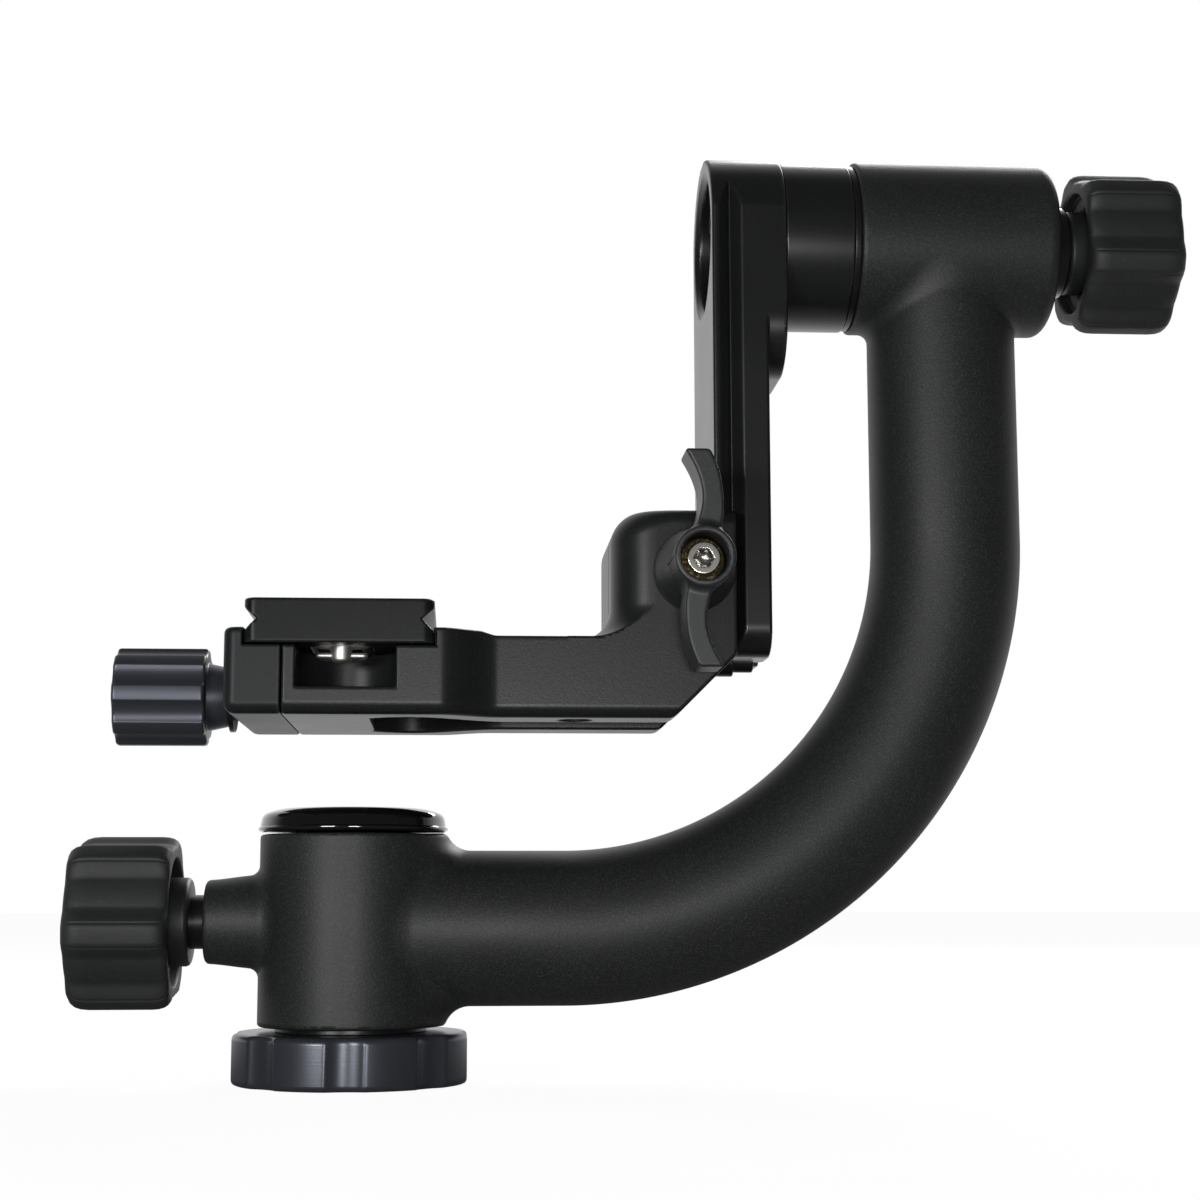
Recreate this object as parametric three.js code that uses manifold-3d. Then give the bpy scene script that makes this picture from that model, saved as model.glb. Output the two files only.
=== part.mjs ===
// Gimbal tripod head: a cast bow-shaped arm pans on a fluted base, and a dovetail swing arm tilts on it.
// A cradle slides on the swing arm and carries a quick-release clamp with a camera plate in it.
// Millimetres, +Z up. The origin is on the pan axis at the base's underside. +X runs towards the tilt
// housing, and -Y is the side of the cradle's wing knob.
import * as THREE from "three";
import { mergeVertices } from "three/addons/utils/BufferGeometryUtils.js";
import Module from "manifold-3d";

const wasm = await Module();
wasm.setup();

// Clearances shared by all pieces
const gap = 0.3; // round a piece that turns, slides or is set into another
const seat = 0.1; // between two faces that bear on each other
const overrun = 4; // how far every cutter runs past what it cuts
const weldLength = 1e-4; // corners nearer than this are one corner

// Heights of the axes above the base's underside
const tiltHeight = 181;
const clampHeight = 80.3;

// Base, under the pan joint
const base = { radius: 24.6, height: 10.6, edge: 1.2, flutes: 8, fluteRadius: 7.6, fluteDepth: 1.4 };
const insert = { radius: 7.6, height: 9, bore: 4.8 };
const spindle = { radius: 9.9, headroom: 0.9, studDepth: 6, tapRadius: 3.2, tapDepth: 13 };
const panWasher = { radius: 15.8, thickness: 0.9 };
const cap = { radius: 19.9, height: 5, round: 3.4, rim: 0.8, lift: 0.4, recessRadius: 5.2, recessDepth: 3.2 };
const capScrew = { headRadius: 4.6, headHeight: 2.8, radius: 2.9, socketRadius: 1.9, socketDepth: 1.8 };

// Cast bow
const bow = { radius: 16.2, lift: 0.3, uprightX: 128, bendRadius: 83.5 };
const panHousing = { radius: 19.4, height: 39.6, edge: 0.6, bore: 13.2 };
const panBearing = { lengthShare: 0.2, inset: 1.2 };
const boss = {
  lift: 1.7, face: 30.4, mouthRadius: 8.7, rootRadius: 9.7, flareRadius: 13, flareLength: 3.4,
  bore: 6.2, edge: 0.8,
};
const tiltHousing = {
  radius: 18.9, lead: 4.1, length: 43.8, edge: 0.6, round: 2.8, bore: 13.1, mouth: 8.6, wall: 3,
};
const tiltBearing = { length: 8.4, inset: 1 };

// Swing arm and the axle it hangs on
const swing = { left: 75.1, web: 12, half: 18.5, crown: 18.9, bottom: 88, corner: 6.5, edge: 0.5 };
const swingPad = { thickness: 4.1, drop: 32, corner: 12 };
const groove = { inset: 1.5, width: 4.8, depth: 2.6 };
const hubRecess = { radius: 14.6, depth: 8, chamfer: 1.2 };
const collar = { radius: 18.4, edge: 0.4 };
const sealRing = { radius: 18.1, length: 1.4 };
const axle = {
  radius: 8, flangeRadius: 14.3, flange: 3.6, studRadius: 5, shoulder: 0.5, dishRadius: 5, dishDepth: 1.6,
};
const axleScrew = { count: 4, circle: 11.2, headRadius: 2.4, headHeight: 1.5, radius: 1.4, length: 7 };
const stopPin = {
  rise: 0.6, inset: 1.3, bigRadius: 3.3, bigLength: 4.4, smallRadius: 2.4, length: 8.8, edge: 0.5,
};

// Six-lobed rubber knobs of the pan and tilt locks
const grip = {
  lobes: 6, radius: 18.6, valley: 2.4, crestShare: 0.14, footShare: 0.67, length: 21.2, round: 4.4,
  cupRadius: 13.4, cupDepth: 2.4,
};
const core = { radius: 9.2, edge: 0.7, plugRadius: 7.8, plugLength: 14, studPlug: 11 };
const panLock = { stand: 3, neck: 3.2, studRadius: 5.6, lobeTurn: 8 };
const brakePad = { radius: 5.7, length: 5.2, stand: 0.5 };
const tiltLock = { washerRadius: 10, washer: 4.1, neck: 2.4, lobeTurn: 22 };

// Cradle: a bed for the camera plate, a waist and a block that clamps the swing arm
const bed = {
  left: -13.4, bottom: 74.5, floor: 88.3, top: 92, half: 29.5, edge: 2.6, curveStart: 18, curveEnd: 30,
};
const waist = { half: 23, top: 91.2 };
const block = { depth: 21.6, top: 118, round: 6.6, fillet: 7, seam: -9, corner: 9.2, chamferRun: 9.1 };
const armJaw = { lap: 4, bite: 2.1 };
const rearJaw = { seam: 0.4, lift: 0.5 };
const underPocket = { left: 3.5, leftHalf: 17, wideX: 12, half: 21, neckX: 32, neckHalf: 9.6, depth: 5 };
const channel = { left: 14, half: 6.2, depth: 2 };
const frontPocket = { x: -0.7, y: -20.5, radius: 10, floor: 80 };
const blockScrew = {
  x: 46, y: -14.6, wellRadius: 3.5, well: 3.6, headRadius: 3.1, headHeight: 2.8, socketRadius: 1.5,
  socketDepth: 1.4, radius: 1.7, length: 9,
};
const dowel = { inset: 5.1, z: 99.6, radius: 1.8, hold: 7, reach: 8 };

// Moving clamp jaw and its fluted knob
const clampJaw = { left: -25.1, top: 91.9, edge: 2.4, corner: 2.6 };
const guidePin = { radius: 1.6, z: 77.3, y: 17, hold: 7, reach: 7 };
const clampScrew = { radius: 3.7, reach: 13, hold: 12 };
const clampWasher = { radius: 7.4, thickness: 1.1 };
const clampNeck = { radius: 7.2, tipRadius: 6.2, length: 4.5 };
const clampKnob = { radius: 10.3, length: 19.1, flutes: 8, fluteRadius: 4.4, fluteDepth: 1, edge: 1.1 };

// Wing knob that draws the block's rear jaw in
const wing = {
  inset: 5, z: 104.6, stand: 0.4, reach: 45, topRadius: 6.1, footRadius: 8.4, recessRadius: 4.8,
  recess: 8.4,
};
const blade = { span: 21.8, thickness: 4.2, deep: 11.5, lead: 4.2, tip: -1.4, inset: 1.6, leadShare: 0.6 };
const wingStud = { radius: 3, reach: 15, wall: 2.2, tapRadius: 2.3, tapDepth: 8 };
const wingInsert = { radius: 4.5, thickness: 2 };
const wingScrew = { headRadius: 3.3, headHeight: 3, radius: 2, hexRadius: 1.8, hexDepth: 1.7, tail: 5 };

// Camera plate, its captive screw and the screw's folding ring
const plate = { x: -2, half: 19, front: -31, length: 50, thickness: 9, flange: 2.4, notch: 2.4, vDepth: 2.5 };
const plateForm = { corner: 2.6, edge: 0.6, slotHalf: 3.4, slotMargin: 6, recessHalf: 6.2, recessDepth: 1.7 };
const cameraScrew = {
  y: -20, radius: 3.1, sunk: 0.8, flangeRadius: 5.8, flange: 1.3, bossRadius: 2.1, drop: 3, eye: 0.9,
};
const ring = { wire: 0.6, half: 4.8, reach: 6.2, drop: 1.5 };

// Facets round each kind of piece, and steps along the bend, a lobe and a curve
const sides = {
  bowCount: 24, wideCount: 32, midCount: 24, smallCount: 14, tinyCount: 8, hexCount: 6, wireCount: 6,
};
const along = { bendCount: 12, curveCount: 4, lobeCount: 6 };

// A closed three.js geometry becomes a solid, and a solid becomes a geometry again
function solidOf(geometry) {
  const bare = new THREE.BufferGeometry().setAttribute("position", geometry.getAttribute("position"));
  if (geometry.index) bare.setIndex(geometry.index);
  const merged = mergeVertices(bare, weldLength);
  const index = merged.index.array;
  const position = merged.getAttribute("position").array;
  const triangles = [];
  for (let i = 0; i < index.length; i += 3) {
    const [a, b, c] = [index[i], index[i + 1], index[i + 2]];
    if (a !== b && b !== c && c !== a) triangles.push([a, b, c]);
  }
  const corner = (i) => new THREE.Vector3().fromArray(position, 3 * i);
  const volume = triangles.reduce((sum, [a, b, c]) => sum + corner(a).dot(corner(b).cross(corner(c))), 0);
  const facing = volume < 0 ? triangles.map(([a, b, c]) => [a, c, b]) : triangles;
  const triVerts = new Uint32Array(facing.flat());
  return new wasm.Manifold(new wasm.Mesh({ numProp: 3, vertProperties: position, triVerts }));
}

function geometryOf(solid) {
  const mesh = solid.getMesh();
  const geometry = new THREE.BufferGeometry();
  geometry.setAttribute("position", new THREE.BufferAttribute(new Float32Array(mesh.vertProperties), 3));
  geometry.setIndex(new THREE.BufferAttribute(new Uint32Array(mesh.triVerts), 1));
  const flat = geometry.toNonIndexed();
  flat.computeVertexNormals();
  return flat;
}

const join = (...solids) => solids.reduce((whole, piece) => whole.add(piece));
const cut = (solid, ...cutters) => cutters.reduce((left, cutter) => left.subtract(cutter), solid);

// Turned solids: profile points are [radius, place along the axis]
function turned(profile, sides) {
  return new THREE.LatheGeometry(profile.map(([radius, along]) => new THREE.Vector2(radius, along)), sides);
}
const turnX = (profile, sides) => solidOf(turned(profile, sides).rotateZ(-Math.PI / 2));
const turnY = (profile, sides) => solidOf(turned(profile, sides));
const turnZ = (profile, sides) => solidOf(turned(profile, sides).rotateX(Math.PI / 2));
const rod = (radius, from, to) => [[0, from], [radius, from], [radius, to], [0, to]];
const sleeve = (inner, outer, from, to) =>
  [[inner, from], [outer, from], [outer, to], [inner, to], [inner, from]];

// Rounded shoulder of a turned profile, its centre at [radius, along], between two angles in degrees
function shoulder(centreRadius, centreAlong, round, fromAngle, toAngle, steps = 4) {
  return Array.from({ length: steps + 1 }, (_, i) => {
    const angle = THREE.MathUtils.degToRad(fromAngle + ((toAngle - fromAngle) * i) / steps);
    return [centreRadius + round * Math.cos(angle), centreAlong + round * Math.sin(angle)];
  });
}

// Prisms of an outline, each with an optional rounded edge at both ends
function prism(shape, from, to, edge, steps) {
  const geometry = new THREE.ExtrudeGeometry(shape, {
    depth: to - from - 2 * edge,
    bevelEnabled: edge > 0,
    bevelThickness: edge,
    bevelSize: edge,
    bevelOffset: -edge,
    bevelSegments: steps,
    curveSegments: along.curveCount,
  });
  return geometry.translate(0, 0, from + edge);
}
const toYZ = new THREE.Matrix4().set(0, 0, 1, 0, 1, 0, 0, 0, 0, 1, 0, 0, 0, 0, 0, 1);
const toXZ = new THREE.Matrix4().set(1, 0, 0, 0, 0, 0, 1, 0, 0, 1, 0, 0, 0, 0, 0, 1);
const prismXY = (shape, from, to, edge = 0, steps = 2) => solidOf(prism(shape, from, to, edge, steps));
const prismYZ = (shape, from, to, edge = 0, steps = 2) =>
  solidOf(prism(shape, from, to, edge, steps).applyMatrix4(toYZ));
const prismXZ = (shape, from, to, edge = 0, steps = 2) =>
  solidOf(prism(shape, from, to, edge, steps).applyMatrix4(toXZ));

const outline = (points) => new THREE.Shape(points.map(([a, b]) => new THREE.Vector2(a, b)));

function boxBetween(low, high) {
  const geometry = new THREE.BoxGeometry(...high.map((value, i) => value - low[i]));
  return solidOf(geometry.translate(...high.map((value, i) => (value + low[i]) / 2)));
}

function roundedRectangle(left, right, low, high, corner) {
  const shape = new THREE.Shape();
  shape.absarc(right - corner, low + corner, corner, -Math.PI / 2, 0);
  shape.absarc(right - corner, high - corner, corner, 0, Math.PI / 2);
  shape.absarc(left + corner, high - corner, corner, Math.PI / 2, Math.PI);
  shape.absarc(left + corner, low + corner, corner, Math.PI, (3 * Math.PI) / 2);
  return shape;
}

// Round bar along a path in the XY plane: each station is { x, y, turn }, and turn is the path's heading
function bentBar(stations, radius, sides) {
  const positions = [];
  stations.forEach(({ x, y, turn }) => {
    for (let i = 0; i < sides; i += 1) {
      const angle = (2 * Math.PI * i) / sides;
      const out = radius * Math.cos(angle);
      positions.push(x - out * Math.sin(turn), y + out * Math.cos(turn), radius * Math.sin(angle));
    }
  });
  const index = [];
  const last = (stations.length - 1) * sides;
  for (let start = 0; start < last; start += sides) {
    for (let i = 0; i < sides; i += 1) {
      const [a, b] = [start + i, start + ((i + 1) % sides)];
      index.push(a, b, b + sides, a, b + sides, a + sides);
    }
  }
  for (let i = 1; i < sides - 1; i += 1) index.push(0, i + 1, i, last, last + i, last + i + 1);
  const geometry = new THREE.BufferGeometry();
  geometry.setAttribute("position", new THREE.BufferAttribute(new Float32Array(positions), 3));
  return solidOf(geometry.setIndex(index));
}

// Flutes round a knob or disc, as cutters that run along its axis
function fluteCutters(turn, { radius, flutes, fluteRadius, fluteDepth }, from, to, phase) {
  const centre = radius + fluteRadius - fluteDepth;
  return Array.from({ length: flutes }, (_, i) => {
    const angle = phase + (2 * Math.PI * i) / flutes;
    const cutter = turn(rod(fluteRadius, from - overrun, to + overrun), sides.smallCount);
    const [a, b] = [centre * Math.cos(angle), centre * Math.sin(angle)];
    return turn === turnZ ? cutter.translate(a, b, 0) : cutter.translate(0, a, b);
  });
}

// Finishes
const paint = (color, roughness, metalness) =>
  new THREE.MeshStandardMaterial({ color, roughness, metalness });
const castFinish = paint(0x2d2f30, 0.7, 0.2);
const satinBlack = paint(0x1d1f20, 0.45, 0.6);
const blueBlack = paint(0x24262f, 0.35, 0.7);
const glossBlack = paint(0x0d0d0e, 0.15, 0.3);
const rubber = paint(0x2a2c2d, 0.8, 0);
const moulded = paint(0x2e3133, 0.6, 0);
const stainless = paint(0xc8c4bc, 0.25, 1);
const blackSteel = paint(0x18191a, 0.4, 0.8);
const brass = paint(0x9c8348, 0.4, 0.9);
const bronze = paint(0x8a6a3c, 0.45, 0.9);

const head = new THREE.Group();
function groupAt(x, y, z) {
  const made = new THREE.Group();
  made.position.set(x, y, z);
  head.add(made);
  return made;
}
function piece(parent, name, solid, material) {
  const mesh = new THREE.Mesh(geometryOf(solid), material);
  mesh.name = name;
  parent.add(mesh);
}

// Base: a fluted disc with a threaded insert for the tripod's stud
function baseDisc() {
  const { radius, height, edge } = base;
  const profile = [
    [0, 0],
    ...shoulder(radius - edge, edge, edge, -90, 0, 3),
    ...shoulder(radius - edge, height - edge, edge, 0, 90, 3),
    [0, height],
  ];
  const well = turnZ(rod(insert.radius + gap, -overrun, insert.height + seat), sides.midCount);
  const stud = turnZ(rod(insert.bore, -overrun, height + overrun), sides.midCount);
  const flutes = fluteCutters(turnZ, base, 0, height, -Math.PI / 2);
  return cut(turnZ(profile, sides.wideCount), well, stud, ...flutes);
}
piece(head, "base_disc", baseDisc(), blueBlack);
const insertSolid = turnZ(sleeve(insert.bore, insert.radius, 0, insert.height), sides.midCount);
piece(head, "tripod_stud_insert", insertSolid, stainless);

// Pan joint: the spindle stands on the disc, and the cap on its top keeps the bow on
const spindleFoot = base.height + seat;
const housingBottom = spindleFoot + panWasher.thickness + seat;
const housingTop = housingBottom + panHousing.height;
const spindleTop = housingTop - spindle.headroom;
const housingMiddle = housingBottom + panHousing.height / 2;
function panSpindle() {
  const shaft = turnZ(rod(spindle.radius, spindleFoot, spindleTop), sides.midCount);
  const studWell = rod(insert.bore, base.height - overrun, base.height + spindle.studDepth);
  const tapping = rod(spindle.tapRadius, spindleTop - spindle.tapDepth, spindleTop + overrun);
  return cut(shaft, turnZ(studWell, sides.midCount), turnZ(tapping, sides.smallCount));
}
function panWasherSolid() {
  const [inner, top] = [spindle.radius + gap, spindleFoot + panWasher.thickness];
  return turnZ(sleeve(inner, panWasher.radius, spindleFoot, top), sides.midCount);
}
piece(head, "pan_spindle", panSpindle(), blackSteel);
piece(head, "pan_thrust_washer", panWasherSolid(), blackSteel);

const capBottom = housingTop + cap.lift;
const capTop = capBottom + cap.height;
const capSeat = capTop - cap.recessDepth;
function topCap() {
  const profile = [
    [0, spindleTop + seat],
    [spindle.radius, spindleTop + seat],
    [spindle.radius, capBottom],
    [cap.radius - cap.rim, capBottom],
    [cap.radius, capBottom + cap.rim],
    ...shoulder(cap.radius - cap.round, capTop - cap.round, cap.round, 0, 90, 5),
    [0, capTop],
  ];
  const recess = turnZ(rod(cap.recessRadius, capSeat, capTop + overrun), sides.smallCount);
  const hole = turnZ(rod(spindle.tapRadius, spindleTop - overrun, capTop), sides.smallCount);
  return cut(turnZ(profile, sides.wideCount), recess, hole);
}
function capScrewSolid() {
  const under = capSeat + seat;
  const headTop = under + capScrew.headHeight;
  const tip = spindleTop - spindle.tapDepth + gap;
  const profile = [
    [0, tip],
    [capScrew.radius, tip],
    [capScrew.radius, under],
    [capScrew.headRadius, under],
    [capScrew.headRadius, headTop],
    [0, headTop],
  ];
  const socket = rod(capScrew.socketRadius, headTop - capScrew.socketDepth, headTop + overrun);
  return cut(turnZ(profile, sides.smallCount), turnZ(socket, sides.hexCount));
}
piece(head, "top_cap", topCap(), glossBlack);
piece(head, "cap_screw", capScrewSolid(), blackSteel);

// Bow: pan housing, knob boss, bent tube and tilt housing are one casting
const panKnobHeight = housingMiddle + boss.lift;
const tiltHousingLeft = bow.uprightX - bow.radius - tiltHousing.lead;
const tiltHousingRight = tiltHousingLeft + tiltHousing.length;
function bowTube() {
  const footHeight = housingMiddle + bow.lift;
  const centre = { x: bow.uprightX - bow.bendRadius, y: footHeight + bow.bendRadius };
  const bend = Array.from({ length: along.bendCount + 1 }, (_, i) => {
    const turn = ((Math.PI / 2) * i) / along.bendCount;
    const [x, y] = [bow.bendRadius * Math.sin(turn), -bow.bendRadius * Math.cos(turn)];
    return { x: centre.x + x, y: centre.y + y, turn };
  });
  const foot = { x: 0, y: footHeight, turn: 0 };
  const top = { x: bow.uprightX, y: tiltHeight, turn: Math.PI / 2 };
  return bentBar([foot, ...bend, top], bow.radius, sides.bowCount).rotate([90, 0, 0]);
}
function bossSolid() {
  const root = panHousing.radius;
  const profile = [
    [0, -boss.face],
    [boss.mouthRadius - boss.edge, -boss.face],
    [boss.mouthRadius, boss.edge - boss.face],
    [boss.rootRadius, -root - boss.flareLength / 2],
    [(boss.rootRadius + boss.flareRadius) / 2, boss.flareLength / 4 - root],
    [boss.flareRadius, boss.flareLength - root],
    [0, boss.flareLength - root],
  ];
  return turnX(profile, sides.midCount).translate(0, 0, panKnobHeight);
}
function bowCasting() {
  const { radius, edge, bore } = panHousing;
  const lowerProfile = [
    [0, housingBottom],
    [radius - edge, housingBottom],
    [radius, housingBottom + edge],
    [radius, housingTop - edge],
    [radius - edge, housingTop],
    [0, housingTop],
  ];
  const { round, wall } = tiltHousing;
  const [left, right] = [tiltHousingLeft, tiltHousingRight];
  const upperProfile = [
    [0, left],
    [tiltHousing.radius - tiltHousing.edge, left],
    [tiltHousing.radius, left + tiltHousing.edge],
    ...shoulder(tiltHousing.radius - round, right - round, round, 0, 90),
    [0, right],
  ];
  return cut(
    join(
      turnZ(lowerProfile, sides.wideCount),
      bossSolid(),
      bowTube(),
      turnX(upperProfile, sides.wideCount).translate(0, 0, tiltHeight),
    ),
    turnZ(rod(bore, housingBottom - overrun, housingTop + overrun), sides.midCount),
    turnX(rod(boss.bore, -boss.face - overrun, 0), sides.smallCount).translate(0, 0, panKnobHeight),
    turnX(rod(tiltHousing.bore, left - overrun, right - wall), sides.midCount).translate(0, 0, tiltHeight),
    turnX(rod(tiltHousing.mouth, left, right + overrun), sides.midCount).translate(0, 0, tiltHeight),
  );
}
piece(head, "bow_casting", bowCasting(), castFinish);

// Bearings: two on the spindle, two on the axle
const panBearingLength = panBearing.lengthShare * panHousing.height;
function panBearingAt(from) {
  const [inner, outer] = [spindle.radius + gap, panHousing.bore - gap];
  return turnZ(sleeve(inner, outer, from, from + panBearingLength), sides.midCount);
}
piece(head, "lower_pan_bearing", panBearingAt(housingBottom + panBearing.inset), bronze);
piece(head, "upper_pan_bearing", panBearingAt(housingTop - panBearing.inset - panBearingLength), bronze);
const tiltAxis = groupAt(0, 0, tiltHeight);
function tiltBearingAt(from) {
  const [inner, outer] = [axle.radius + gap, tiltHousing.bore - gap];
  return turnX(sleeve(inner, outer, from, from + tiltBearing.length), sides.midCount);
}
const outerBearingLeft = tiltHousingRight - tiltHousing.wall - gap - tiltBearing.length;
piece(tiltAxis, "inner_tilt_bearing", tiltBearingAt(tiltHousingLeft + tiltBearing.inset), bronze);
piece(tiltAxis, "outer_tilt_bearing", tiltBearingAt(outerBearingLeft), bronze);

// Lock knob on an axis along X. Its neck faces the casting, and out is the way the knob points, 1 or -1
const span = (a, b) => [Math.min(a, b), Math.max(a, b)];
function lockKnob(neckEnd, neckLength, out, studRadius) {
  const cupEdge = neckEnd + out * neckLength;
  const cupFloor = cupEdge + out * grip.cupDepth;
  const flangeEnd = cupFloor - out * seat;
  const plugEnd = flangeEnd + out * core.plugLength;
  const studEnd = cupFloor + out * core.studPlug;
  return { neckEnd, cupEdge, cupFloor, flangeEnd, plugEnd, studEnd, out, studRadius };
}
// The crest and the hollow's foot are shares of the way from a lobe's middle to the middle of a hollow
function gripSolid({ cupEdge, cupFloor, plugEnd, out }, lobeTurn) {
  const steps = grip.lobes * along.lobeCount;
  const points = Array.from({ length: steps }, (_, i) => {
    const angle = (2 * Math.PI * i) / steps;
    const place = (i % along.lobeCount) / along.lobeCount;
    const fromCrest = 2 * Math.min(place, 1 - place);
    const sunk = THREE.MathUtils.smoothstep(fromCrest, grip.crestShare, grip.footShare);
    const radius = grip.radius - grip.valley * sunk;
    const turn = angle + THREE.MathUtils.degToRad(180 + lobeTurn);
    return [radius * Math.cos(turn), radius * Math.sin(turn)];
  });
  const body = prismYZ(outline(points), ...span(cupEdge, cupEdge + out * grip.length), grip.round, 3);
  const outside = cupEdge - out * overrun;
  const cup = turnX(rod(grip.cupRadius, ...span(outside, cupFloor)), sides.midCount);
  const socket = turnX(rod(core.plugRadius + gap, ...span(outside, plugEnd + out * gap)), sides.midCount);
  return cut(body, cup, socket);
}
function coreSolid({ neckEnd, flangeEnd, plugEnd, studEnd, out, studRadius }) {
  const profile = [
    [0, neckEnd],
    [core.radius - core.edge, neckEnd],
    [core.radius, neckEnd + out * core.edge],
    [core.radius, flangeEnd],
    [core.plugRadius, flangeEnd],
    [core.plugRadius, plugEnd],
    [0, plugEnd],
  ];
  const hole = rod(studRadius + gap, ...span(neckEnd - out * overrun, studEnd + out * gap));
  return cut(turnX(profile, sides.midCount), turnX(hole, sides.smallCount));
}

// Pan lock: the knob's stud presses the pad on the spindle
const panAxis = groupAt(0, 0, panKnobHeight);
const padInner = -spindle.radius - brakePad.stand;
const padOuter = padInner - brakePad.length;
const panKnob = lockKnob(-boss.face - panLock.stand, panLock.neck, -1, panLock.studRadius);
const panStud = rod(panLock.studRadius, panKnob.studEnd, padOuter - seat);
piece(panAxis, "pan_brake_pad", turnX(rod(brakePad.radius, padOuter, padInner), sides.smallCount), bronze);
piece(panAxis, "pan_lock_stud", turnX(panStud, sides.smallCount), blackSteel);
piece(panAxis, "pan_knob_core", coreSolid(panKnob), moulded);
piece(panAxis, "pan_knob_grip", gripSolid(panKnob, panLock.lobeTurn), rubber);

// Tilt lock: the knob runs on the axle's stud and draws the swing arm up to the housing
const washerLeft = tiltHousingRight + seat;
const washerRight = washerLeft + tiltLock.washer;
const tiltKnob = lockKnob(washerRight + seat, tiltLock.neck, 1, axle.studRadius);
const tiltWasher = sleeve(axle.studRadius + gap, tiltLock.washerRadius, washerLeft, washerRight);
piece(tiltAxis, "tilt_thrust_washer", turnX(tiltWasher, sides.midCount), glossBlack);
piece(tiltAxis, "tilt_knob_core", coreSolid(tiltKnob), moulded);
piece(tiltAxis, "tilt_knob_grip", gripSolid(tiltKnob, tiltLock.lobeTurn), rubber);

// Swing arm: a bar with a dovetail groove down each edge, hung on the axle's flange
const webRight = swing.left + swing.web;
const padRight = webRight + swingPad.thickness;
const recessFloor = swing.left + hubRecess.depth;
const flangeLeft = recessFloor - seat - axle.flange;
const stopPinZ = swing.bottom + stopPin.rise;
function armOutline(low, corner, inset) {
  const [half, crown] = [swing.half - inset, swing.crown - inset];
  const rise = Math.acos(half / crown);
  const shape = new THREE.Shape();
  shape.absarc(half - corner, low + inset + corner, corner, -Math.PI / 2, 0);
  shape.absarc(0, tiltHeight, crown, rise, Math.PI - rise);
  shape.absarc(corner - half, low + inset + corner, corner, Math.PI, (3 * Math.PI) / 2);
  return shape;
}
function grooveCutter(side) {
  const { half, bottom } = swing;
  const left = swing.left + groove.inset;
  const points = [
    [left, side * (half + overrun)],
    [left, side * half],
    [left + groove.width / 2, side * (half - groove.depth)],
    [left + groove.width, side * half],
    [left + groove.width, side * (half + overrun)],
  ];
  return prismXY(outline(points), bottom - overrun, tiltHeight + swing.crown);
}
function axleScrewPlaces() {
  return Array.from({ length: axleScrew.count }, (_, i) => {
    const angle = Math.PI / 4 + (2 * Math.PI * i) / axleScrew.count;
    return [axleScrew.circle * Math.cos(angle), axleScrew.circle * Math.sin(angle)];
  });
}
function swingArm() {
  const web = prismYZ(armOutline(swing.bottom, swing.corner, 0), swing.left, webRight, swing.edge, 1);
  const padOutline = armOutline(tiltHeight - swingPad.drop, swingPad.corner, swing.edge);
  const pad = prismYZ(padOutline, webRight - overrun, padRight);
  const recessProfile = [
    [0, swing.left - overrun],
    [hubRecess.radius + hubRecess.chamfer + overrun, swing.left - overrun],
    [hubRecess.radius, swing.left + hubRecess.chamfer],
    [hubRecess.radius, recessFloor],
    [0, recessFloor],
  ];
  const onTiltAxis = (solid) => solid.translate(0, 0, tiltHeight);
  const screwEnd = flangeLeft - seat + axleScrew.length + gap;
  const screwHoles = axleScrewPlaces().map(([y, z]) =>
    turnX(rod(axleScrew.radius + gap, flangeLeft, screwEnd), sides.tinyCount).translate(0, y, z));
  const pinStep = swing.left + stopPin.inset + stopPin.bigLength;
  const pinHole = join(
    turnX(rod(stopPin.bigRadius + gap, swing.left - overrun, pinStep + seat), sides.smallCount),
    turnX(rod(stopPin.smallRadius + gap, swing.left, webRight + overrun), sides.smallCount),
  );
  return cut(
    join(web, pad),
    grooveCutter(1),
    grooveCutter(-1),
    onTiltAxis(turnX(recessProfile, sides.wideCount)),
    onTiltAxis(turnX(rod(axle.radius + gap, swing.left, padRight + overrun), sides.midCount)),
    ...screwHoles.map(onTiltAxis),
    pinHole.translate(0, 0, stopPinZ),
  );
}
piece(head, "swing_arm", swingArm(), satinBlack);

function stopPinSolid() {
  const left = swing.left + stopPin.inset;
  const step = left + stopPin.bigLength;
  const right = left + stopPin.length;
  const profile = [
    [0, left],
    [stopPin.bigRadius, left],
    [stopPin.bigRadius, step],
    [stopPin.smallRadius, step],
    [stopPin.smallRadius, right - stopPin.edge],
    [stopPin.smallRadius - stopPin.edge, right],
    [0, right],
  ];
  return turnX(profile, sides.smallCount).translate(0, 0, stopPinZ);
}
piece(head, "stop_pin", stopPinSolid(), blackSteel);

// Axle: its flange is screwed in the arm's recess, and its stud carries the tilt knob
function axleSolid() {
  const bodyEnd = tiltHousingRight - axle.shoulder;
  const profile = [
    [0, flangeLeft],
    [axle.flangeRadius, flangeLeft],
    [axle.flangeRadius, flangeLeft + axle.flange],
    [axle.radius, flangeLeft + axle.flange],
    [axle.radius, bodyEnd],
    [axle.studRadius, bodyEnd],
    [axle.studRadius, tiltKnob.studEnd],
    [0, tiltKnob.studEnd],
  ];
  const dishRod = rod(axle.dishRadius, flangeLeft - overrun, flangeLeft + axle.dishDepth);
  const holeEnd = flangeLeft + axle.flange + overrun;
  const holes = axleScrewPlaces().map(([y, z]) =>
    turnX(rod(axleScrew.radius + gap, flangeLeft - overrun, holeEnd), sides.tinyCount).translate(0, y, z));
  return cut(turnX(profile, sides.midCount), turnX(dishRod, sides.smallCount), ...holes);
}
piece(tiltAxis, "tilt_axle", axleSolid(), blackSteel);
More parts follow.
